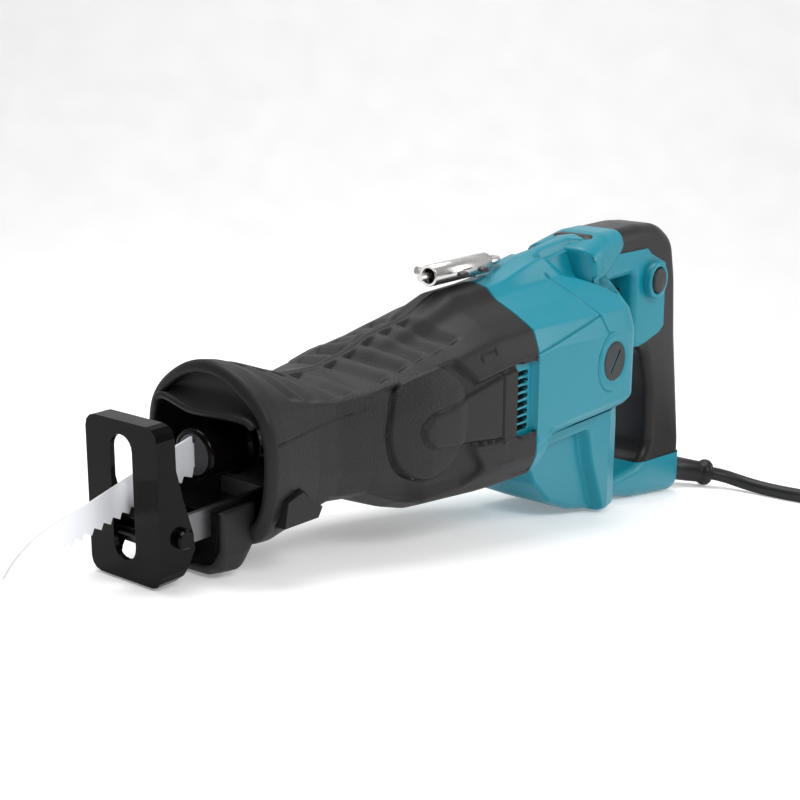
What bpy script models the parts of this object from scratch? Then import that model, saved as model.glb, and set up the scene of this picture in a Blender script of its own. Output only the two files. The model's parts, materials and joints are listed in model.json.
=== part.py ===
"""Corded reciprocating saw, built from named pieces. Metres, +Z up, blade towards -X.

Every piece is modelled in the saw's own frame (X along the blade's stroke, Y towards the saw's right
side, Z up) under one empty, which pitches the saw nose-down until it rests on its chin and its handle.
"""
import bpy
import bmesh
from math import atan2, cos, pi, radians, sin, tan
from mathutils import Matrix, Vector
from mathutils.geometry import interpolate_bezier

# ---- stance: the saw leans on the chin of its boot and on the base of its handle
PITCH = radians(9.5)
STAND = Vector((-0.2074, 0.0, 0.0498))
CHIN_REST = (0.045, -0.0580)          # x, z of the chin's lowest line in the saw's frame

# ---- driving dimensions
STROKE = 0.030
SLIDE_Z = -0.003
MOTOR_Z = -0.008
CRANK_X = 0.158
GEAR_TEETH = 48
PINION_TEETH = 6
GEAR_RADIUS = 0.0268
WALL = 0.003
GAP = 0.0003
BLADE_THICKNESS = 0.00125
TOOTH_PITCH = 0.005
HANDLE_HALF = 0.017
SHOE_PIN = (0.010, -0.0286)           # x, z
HOOK_AXIS = (0.002, 0.0516)           # y, z
SCREWS = [(0.3660, 0.0440), (0.4500, -0.0600), (0.4020, -0.1080)]
CAP_X = 0.324
GRIP_DEPTH = 0.0032                   # rubber over the handle's back
CORD_RADIUS = 0.0045
COIL_CENTRE = (0.428, -0.0975)
COIL_RADIUS = 0.0495
COIL_HALF = 0.0142                    # half the width of the bundle of turns
ROUND = 20                            # sides of a turned piece

PARTS = None
CUTTERS = None


# ---------------------------------------------------------------- scene and materials
def clear_scene():
    for ob in list(bpy.data.objects):
        bpy.data.objects.remove(ob, do_unlink=True)


def new_collection(name):
    made = bpy.data.collections.new(name)
    bpy.context.scene.collection.children.link(made)
    return made


def material(name, colour, roughness=0.5, metallic=0.0):
    mat = bpy.data.materials.new(name)
    mat.use_nodes = True
    shader = mat.node_tree.nodes["Principled BSDF"]
    shader.inputs["Base Color"].default_value = (*colour, 1.0)
    shader.inputs["Roughness"].default_value = roughness
    shader.inputs["Metallic"].default_value = metallic
    mat.diffuse_color = (*colour, 1.0)
    return mat


def empty(name, parent, location=(0, 0, 0)):
    ob = bpy.data.objects.new(name, None)
    ob.empty_display_size = 0.02
    ob.location = location
    ob.parent = parent
    bpy.context.scene.collection.objects.link(ob)
    return ob


# ---------------------------------------------------------------- meshes, in the saw's frame
TO_XZ = Matrix(((1, 0, 0, 0), (0, 0, -1, 0), (0, 1, 0, 0), (0, 0, 0, 1)))
TO_YZ = Matrix(((0, 0, 1, 0), (1, 0, 0, 0), (0, 1, 0, 0), (0, 0, 0, 1)))
ALONG = {"X": TO_YZ, "Y": Matrix.Rotation(-pi / 2, 4, "X"), "Z": Matrix.Identity(4)}


def finished(bm, name, sharp=40):
    bmesh.ops.recalc_face_normals(bm, faces=bm.faces)
    mesh = bpy.data.meshes.new(name)
    bm.to_mesh(mesh)
    bm.free()
    mesh.shade_smooth()
    mesh.set_sharp_from_angle(angle=radians(sharp))
    return mesh


def box(low, high):
    bm = bmesh.new()
    bmesh.ops.create_cube(bm, size=1.0)
    size = [b - a for a, b in zip(low, high)]
    middle = [(a + b) / 2 for a, b in zip(low, high)]
    bmesh.ops.transform(bm, matrix=Matrix.Translation(middle) @ Matrix.Diagonal((*size, 1)), verts=bm.verts)
    return finished(bm, "box")


def cylinder(axis, start, length, radius, sides=ROUND, radius_end=None):
    """A cylinder or cone from its start point along +axis."""
    bm = bmesh.new()
    end = radius if radius_end is None else radius_end
    bmesh.ops.create_cone(bm, cap_ends=True, segments=sides, radius1=radius, radius2=end, depth=length)
    bmesh.ops.translate(bm, vec=(0, 0, length / 2), verts=bm.verts)
    bmesh.ops.transform(bm, matrix=Matrix.Translation(start) @ ALONG[axis], verts=bm.verts)
    return finished(bm, "cylinder")


def evaluated(ob):
    """The mesh of a helper object after its modifiers; the helper is removed."""
    bpy.context.scene.collection.objects.link(ob)
    bpy.context.view_layer.update()
    mesh = bpy.data.meshes.new_from_object(ob.evaluated_get(bpy.context.evaluated_depsgraph_get()))
    bpy.data.objects.remove(ob, do_unlink=True)
    bm = bmesh.new()
    bm.from_mesh(mesh)
    bmesh.ops.remove_doubles(bm, verts=bm.verts, dist=0.000001)
    return bm


def plate(outlines, low, high, matrix):
    """A flat outline (with holes, if more than one loop) between two heights along its normal."""
    curve = bpy.data.curves.new("outline", "CURVE")
    curve.dimensions = "2D"
    curve.fill_mode = "BOTH"
    curve.extrude = (high - low) / 2
    for loop in outlines:
        spline = curve.splines.new("POLY")
        spline.points.add(len(loop) - 1)
        for point, (a, b) in zip(spline.points, loop):
            point.co = (a, b, 0, 1)
        spline.use_cyclic_u = True
    bm = evaluated(bpy.data.objects.new("outline", curve))
    bmesh.ops.translate(bm, vec=(0, 0, (high + low) / 2), verts=bm.verts)
    bmesh.ops.transform(bm, matrix=matrix, verts=bm.verts)
    return finished(bm, "plate")


def side_plate(outlines, y_low, y_high):
    """An outline in x, z with its thickness along Y."""
    return plate(outlines, -y_high, -y_low, TO_XZ)


def front_plate(outlines, x_low, x_high):
    """An outline in y, z with its thickness along X."""
    return plate(outlines, x_low, x_high, TO_YZ)


def turned(profile, axis, origin, closed=True, steps=ROUND):
    """A Screw of a profile (radius, height) about an axis. The outer side runs from top to bottom."""
    mesh = bpy.data.meshes.new("profile")
    count = len(profile)
    edges = [(i, (i + 1) % count) for i in range(count if closed else count - 1)]
    mesh.from_pydata([(r, 0, h) for r, h in profile], edges, [])
    helper = bpy.data.objects.new("turned", mesh)
    screw = helper.modifiers.new("turn", "SCREW")
    screw.steps = screw.render_steps = steps
    screw.use_merge_vertices = True
    screw.merge_threshold = 0.00001
    bm = evaluated(helper)
    bmesh.ops.transform(bm, matrix=Matrix.Translation(origin) @ ALONG[axis], verts=bm.verts)
    return finished(bm, "turned", 35)


def ring(axis, start, length, inner, outer, steps=ROUND):
    return turned([(outer, length), (outer, 0), (inner, 0), (inner, length)], axis, start, True, steps)


def wire(points, radius, cyclic=False, resolution=2, radii=None):
    """A round wire or tube along points."""
    curve = bpy.data.curves.new("wire", "CURVE")
    curve.dimensions = "3D"
    curve.bevel_depth = radius
    curve.bevel_resolution = resolution
    curve.use_fill_caps = not cyclic
    spline = curve.splines.new("POLY")
    spline.points.add(len(points) - 1)
    for index, (point, place) in enumerate(zip(spline.points, points)):
        point.co = (*place, 1)
        if radii:
            point.radius = radii[index]
    spline.use_cyclic_u = cyclic
    return finished(evaluated(bpy.data.objects.new("wire", curve)), "wire", 60)


def loft(stations, cap=True):
    """Closed rings of equal count, joined in order; each ring is a list of points."""
    bm = bmesh.new()
    rings = [[bm.verts.new(p) for p in points] for points in stations]
    count = len(rings[0])
    for first, second in zip(rings, rings[1:]):
        for i in range(count):
            j = (i + 1) % count
            bm.faces.new((first[i], first[j], second[j], second[i]))
    if cap:
        bm.faces.new(rings[0])
        bm.faces.new(list(reversed(rings[-1])))
    else:
        for i in range(count):
            j = (i + 1) % count
            bm.faces.new((rings[-1][i], rings[-1][j], rings[0][j], rings[0][i]))
    return finished(bm, "loft", 30)


def rounded(corners, steps=3):
    """An outline from (a, b, radius) corners, each replaced by an arc."""
    points = []
    count = len(corners)
    for i, (a, b, radius) in enumerate(corners):
        here = Vector((a, b))
        back = (Vector(corners[i - 1][:2]) - here).normalized()
        ahead = (Vector(corners[(i + 1) % count][:2]) - here).normalized()
        if radius == 0:
            points.append((a, b))
            continue
        half = back.angle(ahead) / 2
        centre = here + (back + ahead).normalized() * (radius / sin(half))
        start = here + back * (radius / tan(half)) - centre
        end = here + ahead * (radius / tan(half)) - centre
        turn = atan2(start.x * end.y - start.y * end.x, start.dot(end))
        for k in range(steps + 1):
            angle = turn * k / steps
            points.append((centre.x + start.x * cos(angle) - start.y * sin(angle),
                           centre.y + start.x * sin(angle) + start.y * cos(angle)))
    return points


def rounded_rectangle(a0, a1, b0, b1, radius, steps=3):
    return rounded([(a0, b0, radius), (a1, b0, radius), (a1, b1, radius), (a0, b1, radius)], steps)


def circle(a, b, radius, sides=16, phase=0.0):
    return [(a + radius * cos(phase + 2 * pi * k / sides), b + radius * sin(phase + 2 * pi * k / sides))
            for k in range(sides)]


# ---------------------------------------------------------------- objects
def add(name, mesh, mat, parent, cutters=(), joins=(), keeps=()):
    """A piece; its mesh is in the saw's frame, its origin on its parent's axis."""
    ob = bpy.data.objects.new(name, mesh)
    mesh.name = name
    mesh.materials.clear()
    mesh.materials.append(mat)
    if parent is not None:
        mesh.transform(Matrix.Translation(-parent.location) if parent.parent else Matrix.Identity(4))
        ob.parent = parent
    PARTS.objects.link(ob)
    for operation, tools in (("UNION", joins), ("DIFFERENCE", cutters), ("INTERSECT", keeps)):
        for number, tool in enumerate(tools):
            boolean(ob, tool, operation, f"{name}_{operation.lower()}_{number}")
    return ob


def boolean(ob, mesh, operation, name):
    tool = bpy.data.objects.new(name, mesh.copy())
    if ob.parent is not None:
        if ob.parent.parent:
            tool.data.transform(Matrix.Translation(-ob.parent.location))
        tool.parent = ob.parent
    tool.hide_render = True
    tool.display_type = "WIRE"
    CUTTERS.objects.link(tool)
    modifier = ob.modifiers.new(name, "BOOLEAN")
    modifier.operation = operation
    modifier.object = tool
    modifier.solver = "EXACT"


# ---------------------------------------------------------------- body sections
def body_ring(x, top, crown, drop, half, shoulder, low, bottom, inset=0.0):
    """One section of the boot or the motor housing: a narrow crown, slanted facets and upright sides."""
    right = [(0.0, top), (crown, top - 0.0018), (crown + 0.0055, top - drop),
             (0.63 * half, shoulder + 0.55 * (top - drop - shoulder)), (0.91 * half, shoulder),
             (half, shoulder - 0.012), (half, low), (0.89 * half, bottom + 0.007),
             (0.55 * half, bottom + 0.0012), (0.0, bottom)]
    points = right + [(-y, z) for y, z in reversed(right[1:-1])]
    if inset:
        points = shrunk(points, inset)
    return [(x, y, z) for y, z in points]


def shrunk(points, amount):
    """The outline moved inwards by an amount; the points run clockwise."""
    moved = []
    count = len(points)
    for i in range(count):
        before, here, after = Vector(points[i - 1]), Vector(points[i]), Vector(points[(i + 1) % count])
        into = (here - before).normalized()
        out = (after - here).normalized()
        normal = (Vector((into.y, -into.x)) + Vector((out.y, -out.x))).normalized()
        stretch = max(0.5, normal.dot(Vector((into.y, -into.x))))
        moved.append(here + normal * (amount / stretch))
    return [(p.x, p.y) for p in moved]


# x, top, crown, drop, half width, shoulder, side's low edge, bottom
BOOT = [(0.0470, 0.0375, 0.010, 0.0035, 0.0380, 0.0200, -0.0140, -0.0405),
        (0.0500, 0.0395, 0.010, 0.0035, 0.0400, 0.0210, -0.0145, -0.0470),
        (0.0580, 0.0380, 0.010, 0.0035, 0.0395, 0.0210, -0.0150, -0.0478),
        (0.0700, 0.0335, 0.009, 0.0035, 0.0375, 0.0190, -0.0170, -0.0452),
        (0.0830, 0.0280, 0.008, 0.0030, 0.0350, 0.0160, -0.0190, -0.0415),
        (0.0980, 0.0225, 0.008, 0.0030, 0.0345, 0.0130, -0.0200, -0.0390),
        (0.1200, 0.0215, 0.008, 0.0030, 0.0365, 0.0125, -0.0240, -0.0420),
        (0.1420, 0.0250, 0.008, 0.0035, 0.0395, 0.0145, -0.0330, -0.0520),
        (0.1580, 0.0300, 0.009, 0.0045, 0.0415, 0.0165, -0.0400, -0.0570),
        (0.1850, 0.0335, 0.009, 0.0060, 0.0430, 0.0190, -0.0440, -0.0595),
        (0.2000, 0.0385, 0.010, 0.0070, 0.0437, 0.0210, -0.0450, -0.0610),
        (0.2150, 0.0430, 0.010, 0.0075, 0.0443, 0.0225, -0.0450, -0.0620),
        (0.2460, 0.0440, 0.010, 0.0075, 0.0450, 0.0230, -0.0450, -0.0630)]

HOUSING = [(0.2466, 0.0440, 0.010, 0.0075, 0.0450, 0.0230, -0.0450, -0.0630),
           (0.2560, 0.0445, 0.010, 0.0075, 0.0450, 0.0230, -0.0440, -0.0600),
           (0.2620, 0.0455, 0.010, 0.0080, 0.0450, 0.0228, -0.0340, -0.0465),
           (0.2900, 0.0515, 0.010, 0.0125, 0.0450, 0.0215, -0.0330, -0.0455),
           (0.3120, 0.0545, 0.010, 0.0150, 0.0450, 0.0200, -0.0330, -0.0455),
           (0.3380, 0.0570, 0.010, 0.0160, 0.0445, 0.0190, -0.0330, -0.0455)]


def between(sections, x):
    """The section at x, between two given ones."""
    for first, second in zip(sections, sections[1:]):
        if first[0] <= x <= second[0]:
            share = (x - first[0]) / (second[0] - first[0])
            return tuple(a + (b - a) * share for a, b in zip(first, second))
    raise ValueError(x)


def floor_line(x):
    """Height in the saw's frame of the surface the saw rests on."""
    return CHIN_REST[1] - (x - CHIN_REST[0]) * tan(PITCH)


# ---------------------------------------------------------------- the front end
def make_shoe(frame, mats):
    """A pressed plate with folded rims, a long slot for the blade and two ears for its pin."""
    x, z = SHOE_PIN
    outer = rounded_rectangle(-0.022, 0.022, -0.049, 0.022, 0.006)
    pocket = rounded_rectangle(-0.0195, 0.0195, -0.0465, 0.0195, 0.004)
    slot = rounded_rectangle(-0.0068, 0.0068, -0.0400, 0.0160, 0.0067, 5)
    side = [(-0.003, 0.023), (0.0065, 0.023), (0.0078, 0.0195), (0.0080, 0.0020), (0.0115, -0.0120),
            (0.0162, -0.0265), (0.0175, -0.0355), (0.0115, -0.0455), (0.0060, -0.0500), (-0.003, -0.0500)]
    block = front_plate([outer], -0.0025, 0.0185)
    return add("shoe", block, mats["black_steel"], frame["shoe"],
               keeps=[side_plate([side], -0.03, 0.03)],
               cutters=[front_plate([pocket], 0.0, 0.03), front_plate([slot], -0.01, 0.01),
                        cylinder("Y", (x, -0.03, z), 0.06, 0.0027, 16)])


def make_shoe_carriage(frame, mats):
    x, z = SHOE_PIN
    head, shaft = 0.0046, 0.0024
    profile = [(0, 0.0252), (head * 0.8, 0.0252), (head, 0.0245), (head, 0.0223), (shaft, 0.0223),
               (shaft, -0.0223), (head, -0.0223), (head, -0.0245), (head * 0.8, -0.0252), (0, -0.0252)]
    add("shoe_pin", turned(profile, "Y", (x, 0, z), False, 16), mats["black_steel"], frame["carriage"])
    channel = [(-0.0180, -0.0345), (0.0180, -0.0345), (0.0180, -0.0215), (0.0155, -0.0215),
               (0.0155, -0.0322), (-0.0155, -0.0322), (-0.0155, -0.0215), (-0.0180, -0.0215)]
    add("shoe_bracket", front_plate([channel], 0.0040, 0.1120), mats["bright_steel"], frame["carriage"],
        cutters=[cylinder("Y", (x, -0.03, z), 0.06, 0.0027, 16)])


def make_shoe_lock(frame, mats):
    """A push button low on the left side; its stem reaches the bracket's side."""
    face = [(0.0540, -0.0330), (0.0565, -0.0215), (0.0660, -0.0190), (0.0790, -0.0290), (0.0760, -0.0335)]
    add("shoe_lock_button", side_plate([face], -0.0405, -0.0365), mats["boot"], frame["shoe_lock"],
        joins=[cylinder("Y", (0.066, -0.0375, -0.0275), 0.0150, 0.0025, 10)])
    guide = box((0.0700, -0.0150, -0.0318), (0.1180, 0.0150, -0.0235))
    add("shoe_guide", guide, mats["aluminium"], frame["saw"])


def blade_outline():
    """Spine, curved tip, toothed edge and the narrow tang held in the clamp."""
    spine = [(0.0380, 0.0056), (0.0280, 0.0033), (-0.0200, -0.0092), (-0.0370, -0.0128)]
    tip = interpolate_bezier(Vector((-0.0370, -0.0128)), Vector((-0.0500, -0.0155)),
                             Vector((-0.0600, -0.0215)), Vector((-0.0655, -0.0290)), 6)
    outline = spine[:-1] + [(p.x, p.y) for p in tip] + [(-0.0648, -0.0325)]
    start, end = Vector((-0.0615, -0.0312)), Vector((0.0360, -0.0132))
    count = int((end - start).length / TOOTH_PITCH)
    along = (end - start) / count
    up = Vector((-along.y, along.x)).normalized()
    for k in range(count):
        root = start + along * k
        outline += [(root.x, root.y), tuple(root + along * 0.35 + up * 0.0026)]
    tang = [(0.0372, -0.0130), (0.0385, -0.0085), (0.0560, -0.0085), (0.0560, 0.0025), (0.0380, 0.0025)]
    return outline + tang


def make_blade_group(frame, mats):
    slider = frame["slider"]
    half = BLADE_THICKNESS / 2
    add("blade", side_plate([blade_outline(), circle(0.0480, SLIDE_Z, 0.0025, 12)], -half, half),
        mats["blade_steel"], slider)
    holder = cylinder("X", (0.0388, 0, SLIDE_Z), 0.0212, 0.0095)
    tang_slot = box((0.030, -half - GAP, -0.0085 - GAP), (0.0564, half + GAP, 0.0025 + GAP))
    pin_hole = cylinder("Y", (0.0480, -0.012, SLIDE_Z), 0.0120 + half + GAP, 0.0023, 12)
    add("blade_holder", holder, mats["black_steel"], slider, cutters=[tang_slot, pin_hole])
    add("clamp_pin", cylinder("Y", (0.0480, -0.0092, SLIDE_Z), 0.0092 + half, 0.0020, 12),
        mats["bright_steel"], slider)
    add("slider_rod", cylinder("X", (0.0603, 0, SLIDE_Z), 0.0517, 0.0080), mats["bright_steel"], slider)
    turns, per_turn, reach = 2, 16, 0.0090
    coil = [(0.0614 + 0.0020 * k / per_turn, reach * cos(2 * pi * k / per_turn),
             SLIDE_Z + reach * sin(2 * pi * k / per_turn)) for k in range(turns * per_turn + 1)]
    add("clamp_spring", wire(coil, 0.0006, resolution=1), mats["bright_steel"], slider)
    sleeve = [(0.0120, 0.0280), (0.0148, 0.0275), (0.0148, 0.0235), (0.0122, 0.0215), (0.0118, 0.0010),
              (0.0110, 0.0), (0.0099, 0.0), (0.0099, 0.0280)]
    add("blade_clamp_sleeve", turned(sleeve, "X", (0.0385, 0, SLIDE_Z)), mats["black_steel"],
        frame["sleeve"])


def make_yoke(frame, mats):
    """The plate that the crank pin drives: a tall slot, and an arm forward to the slider rod."""
    z = MOTOR_Z
    outline = rounded([(0.1123, SLIDE_Z + 0.006, 0), (0.1505, SLIDE_Z + 0.006, 0), (0.1505, z + 0.022, 0),
                       (0.1655, z + 0.022, 0.002), (0.1655, z - 0.022, 0.002), (0.1505, z - 0.022, 0),
                       (0.1505, SLIDE_Z - 0.006, 0), (0.1123, SLIDE_Z - 0.006, 0)], 2)
    slot = rounded_rectangle(0.1532, 0.1628, z - 0.0193, z + 0.0193, 0.0046)
    add("slider_yoke", side_plate([outline, slot], -0.0026, 0.0026), mats["dark_steel"], frame["slider"])


def make_bushes(frame, mats):
    saw = frame["saw"]
    add("front_bush", ring("X", (0.0870, 0, SLIDE_Z), 0.0110, 0.0080 + GAP, 0.0115), mats["bronze"], saw)
    seal = [(0.0115, 0.0040), (0.0115, 0.0), (0.0100, 0.0), (0.0086, 0.0015), (0.0086, 0.0030),
            (0.0100, 0.0040)]
    add("rod_seal", turned(seal, "X", (0.0826, 0, SLIDE_Z)), mats["rubber"], saw)


# ---------------------------------------------------------------- boot and gear case
def make_boot(frame, mats):
    """The rubber boot: flared guard with a visor at the nose, chin below, windows in its sides at the rear."""
    outer = [body_ring(*section) for section in BOOT]
    inner = [body_ring(*section, inset=WALL) for section in BOOT]
    shell = loft(outer + inner[::-1], cap=False)
    front, back = 0.0310, 0.0520
    chin = [(front, -0.0280), (front, -0.0480), (0.0350, floor_line(0.0350)), (0.0490, floor_line(0.0490)),
            (back, -0.0500), (back, -0.0400), (0.0495, -0.0280)]
    visor = [(-0.0290, 0.0165), (-0.0300, 0.0210), (-0.0225, 0.0268), (-0.0145, 0.0322), (-0.0090, 0.0342),
             (0.0090, 0.0342), (0.0145, 0.0322), (0.0225, 0.0268), (0.0300, 0.0210), (0.0290, 0.0165)]
    inside = box((0.0250, -0.0210, -0.0530), (0.0490, 0.0210, -0.0200))
    tunnel = box((0.0200, -0.0186, -0.0352), (0.1220, 0.0186, -0.0195))
    windows = [box((0.2290, side * 0.030 - 0.020, -0.0310), (0.2600, side * 0.030 + 0.020, 0.0060))
               for side in (-1.0, 1.0)]
    lock = [(0.0533, -0.0336), (0.0560, -0.0210), (0.0661, -0.0183), (0.0800, -0.0288), (0.0765, -0.0342)]
    recess = side_plate([lock], -0.0500, -0.0333)
    return add("front_boot", shell, mats["boot"], frame["saw"],
               joins=[side_plate([chin], -0.0250, 0.0250), front_plate([visor], 0.0480, 0.0510)],
               cutters=[inside, tunnel, *windows, recess,
                        cylinder("Y", (0.066, -0.036, -0.0275), 0.02, 0.0029, 10)])


def make_gear_case(frame, mats):
    """The aluminium case under the boot: a slim nose for the slider and a deep belly for the gear."""
    clearance = WALL + 0.0010
    stations = []
    for x in (0.0820, 0.0980, 0.1180, 0.1250, 0.1420, 0.1580, 0.1850, 0.2000, 0.2105):
        section = list(between(BOOT, x))
        if x < 0.120:
            section[6], section[7] = -0.0080, -0.0175
        stations.append(section)
    outer = [body_ring(*s, inset=clearance + (0.0006 if s[0] < 0.12 else 0)) for s in stations]
    inner = [body_ring(*s, inset=clearance + 0.0018) for s in stations]
    shell = loft(outer + inner[::-1], cap=False)
    web = box((0.0840, -0.0270, -0.0150), (0.0985, 0.0270, 0.0090))
    shaft = (CRANK_X, -0.0600, MOTOR_Z)
    boss = cylinder("Y", (CRANK_X, -0.0352, MOTOR_Z), 0.0150, 0.0165)
    return add("gear_case", shell, mats["aluminium"], frame["saw"], joins=[web, boss],
               cutters=[cylinder("X", (0.0700, 0, SLIDE_Z), 0.0600, 0.0115 + GAP),
                        cylinder("Y", shaft, 0.0500, 0.0130 + GAP)])


# ---------------------------------------------------------------- crank and motor
def make_crank(frame, mats):
    crank = frame["crank"]
    z = MOTOR_Z
    inner, rim = 0.0225, GEAR_RADIUS
    profile = [(0, -0.0090), (inner, -0.0090), (inner, -0.0042), (rim, -0.0042), (rim, -0.0125), (0, -0.0125)]
    disc = turned(profile, "Y", (CRANK_X, 0, z), False, 48)
    teeth = []
    for k in range(GEAR_TEETH):
        angle = 2 * pi * k / GEAR_TEETH
        tooth = box((inner + 0.0001, -0.0046, -0.0004), (rim - 0.0001, -0.0030, 0.0004))
        tooth.transform(Matrix.Translation((CRANK_X, 0, z)) @ Matrix.Rotation(angle, 4, "Y"))
        teeth.append(tooth)
    pin = cylinder("Y", (CRANK_X, -0.0095, z + STROKE / 2), 0.0065, 0.0040, 16)
    add("crank_gear", disc, mats["gear_steel"], crank, joins=[merged(teeth), pin])
    shaft = [(0, -0.0128), (0.0062, -0.0128), (0.0062, -0.0350), (0, -0.0350)]
    add("crank_shaft", turned(shaft, "Y", (CRANK_X, 0, z), False, 20), mats["bright_steel"], crank)
    weight = [(0.0240 * cos(a), 0.0240 * sin(a)) for a in (radians(205 + 13 * k) for k in range(11))]
    weight += [(0.0085 * cos(a), 0.0085 * sin(a)) for a in (radians(335 - 13 * k) for k in range(11))]
    weight = [(CRANK_X + a, z + b) for a, b in weight]
    add("balance_weight", side_plate([weight], -0.0160, -0.0128), mats["dark_steel"], crank)
    add("crank_bearing", ring("Y", (CRANK_X, -0.0320, z), 0.0100, 0.0062 + GAP, 0.0130), mats["bright_steel"],
        frame["saw"])


def merged(meshes):
    """Several closed bodies in one mesh, for one Boolean."""
    bm = bmesh.new()
    for mesh in meshes:
        bm.from_mesh(mesh)
    return finished(bm, "merged")


def gear_outline(teeth, root, tip, share=0.25, z=0.0):
    """A pinion's outline: narrow teeth on a round core."""
    points = []
    for k in range(teeth):
        middle = 2 * pi * (k + 0.5) / teeth
        for angle, radius in ((-share, root), (-share * 0.8, tip), (share * 0.8, tip), (share, root)):
            points.append((radius * cos(middle + angle), z + radius * sin(middle + angle)))
    return points


def make_armature(frame, mats):
    body = frame["armature"]
    z = MOTOR_Z
    outline = gear_outline(PINION_TEETH, 0.0022, 0.0037, 0.16, z)
    add("pinion", front_plate([outline], 0.1816, 0.1900), mats["gear_steel"], body)
    shaft = [(0, 0.3480), (0.0038, 0.3480), (0.0038, 0.1903), (0, 0.1903)]
    add("armature_shaft", turned(shaft, "X", (0, 0, z), False, 20), mats["bright_steel"], body)
    slots = []
    for k in range(12):
        middle = 2 * pi * k / 12
        for angle, radius in ((-0.20, 0.0222), (-0.06, 0.0222), (-0.06, 0.0165), (0.06, 0.0165),
                              (0.06, 0.0222), (0.20, 0.0222)):
            slots.append((radius * cos(middle + angle), z + radius * sin(middle + angle)))
    bore = circle(0, z, 0.0038 + GAP, 20)
    add("armature_core", front_plate([slots, bore], 0.2420, 0.2940), mats["lamination"], body)
    winding = [(0.0170, 0.0090), (0.0205, 0.0060), (0.0205, 0.0), (0.0041, 0.0), (0.0041, 0.0090)]
    add("winding_rear", turned(winding, "X", (0.2943, 0, z)), mats["copper"], body)
    front = [(0.0205, 0.0090), (0.0205, 0.0030), (0.0170, 0.0), (0.0041, 0.0), (0.0041, 0.0090)]
    add("winding_front", turned(front, "X", (0.2327, 0, z)), mats["copper"], body)
    add("commutator", ring("X", (0.3135, 0, z), 0.0210, 0.0041, 0.0120, 24), mats["copper"], body)
    blades = []
    for k in range(9):
        vane = box((0.2150, -0.0008, 0.0125), (0.2215, 0.0008, 0.0300))
        vane.transform(Matrix.Translation((0, 0, z)) @ Matrix.Rotation(2 * pi * k / 9, 4, "X"))
        blades.append(vane)
    hub = [(0.0310, 0.0092), (0.0310, 0.0074), (0.0120, 0.0060), (0.0070, 0.0), (0.0041, 0.0),
           (0.0041, 0.0092)]
    add("fan", turned(hub, "X", (0.2140, 0, z), True, 36), mats["grey_plastic"], body, joins=[merged(blades)])


def make_bearings(frame, mats):
    saw = frame["saw"]
    z = MOTOR_Z
    add("front_bearing", ring("X", (0.1975, 0, z), 0.0080, 0.0041, 0.0110), mats["bright_steel"], saw)
    add("rear_bearing", ring("X", (0.3380, 0, z), 0.0070, 0.0041, 0.0095), mats["bright_steel"], saw)
    add("bearing_plate", ring("X", (0.1965, 0, z), 0.0100, 0.0113, 0.0300), mats["aluminium"], saw)


def make_stator(frame, mats):
    """Field laminations with four pockets for the two saddle coils."""
    saw = frame["saw"]
    z = MOTOR_Z
    pockets = [cylinder("X", (0.2300, side * 0.0235, z + level * 0.0110), 0.0800, 0.0048, 12)
               for side in (-1, 1) for level in (-1, 1)]
    add("stator", ring("X", (0.2420, 0, z), 0.0520, 0.0229, 0.0325), mats["lamination"], saw, cutters=pockets)
    for name, level in (("field_coil_upper", 1), ("field_coil_lower", -1)):
        side = 0.0235
        arch = [(side * cos(a), level * (0.0110 + 0.0135 * sin(a))) for a in (0, 0.7, 1.3, 1.84, 2.44, pi)]
        loop = [(0.2360, y, z + h) for y, h in arch] + [(0.3000, y, z + h) for y, h in reversed(arch)]
        add(name, wire(loop, 0.0030, True, 1), mats["copper"], saw)


def make_brushes(frame, mats):
    saw = frame["saw"]
    z = MOTOR_Z
    for side, name in ((-1, "left"), (1, "right")):
        low, high = sorted((side * 0.0124, side * 0.0260))
        add(f"carbon_brush_{name}", box((CAP_X - 0.0035, low, z - 0.0055), (CAP_X + 0.0035, high, z + 0.0055)),
            mats["carbon"], saw)
        start, end = side * 0.0150, side * 0.0390
        holder = box((CAP_X - 0.0052, min(start, end), z - 0.0072), (CAP_X + 0.0052, max(start, end), z + 0.0072))
        bore = box((CAP_X - 0.0038, min(start, end) - 0.01, z - 0.0058),
                   (CAP_X + 0.0038, max(start, end) + 0.01, z + 0.0058))
        add(f"brush_holder_{name}", holder, mats["brass"], saw, cutters=[bore])
        rim = 0.0114
        profile = [(0, 0.0455), (rim - 0.0008, 0.0455), (rim, 0.0447), (rim, 0.0395), (0, 0.0395)]
        mesh = turned(profile, "Y", (CAP_X, 0, z), False)
        if side < 0:
            mesh = turned([(r, -h) for r, h in reversed(profile)], "Y", (CAP_X, 0, z), False)
        outer_face = side * 0.0465
        inner_face = side * 0.0443
        slot = box((CAP_X - 0.0075, min(outer_face, inner_face), z - 0.0010),
                   (CAP_X + 0.0075, max(outer_face, inner_face), z + 0.0010))
        slot.transform(Matrix.Translation((CAP_X, 0, z)) @ Matrix.Rotation(radians(-50), 4, "Y")
                       @ Matrix.Translation((-CAP_X, 0, -z)))
        add(f"brush_cap_{name}", mesh, mats["cap"], saw, cutters=[slot])


# ---------------------------------------------------------------- motor housing and handle
def make_motor_housing(frame, mats):
    """One teal barrel; its front end is a reduced spigot that the boot covers."""
    spigot = [between(BOOT, 0.2125), BOOT[-2], (HOUSING[0][0] - GAP, *BOOT[-1][1:])]
    tuck = WALL + 2 * GAP
    outer = [body_ring(*s, inset=tuck) for s in spigot] + [body_ring(*s) for s in HOUSING]
    inner = [body_ring(*s, inset=tuck + 0.0028) for s in spigot]
    inner += [body_ring(*s, inset=0.0032 if s[0] > 0.25 else tuck + 0.0028) for s in HOUSING]
    holes = cylinder("Y", (CAP_X, -0.0600, MOTOR_Z), 0.1200, 0.0118)
    shell = loft(outer + inner[::-1], cap=False)
    add("motor_housing", shell, mats["teal"], frame["saw"], cutters=[holes])


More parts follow.
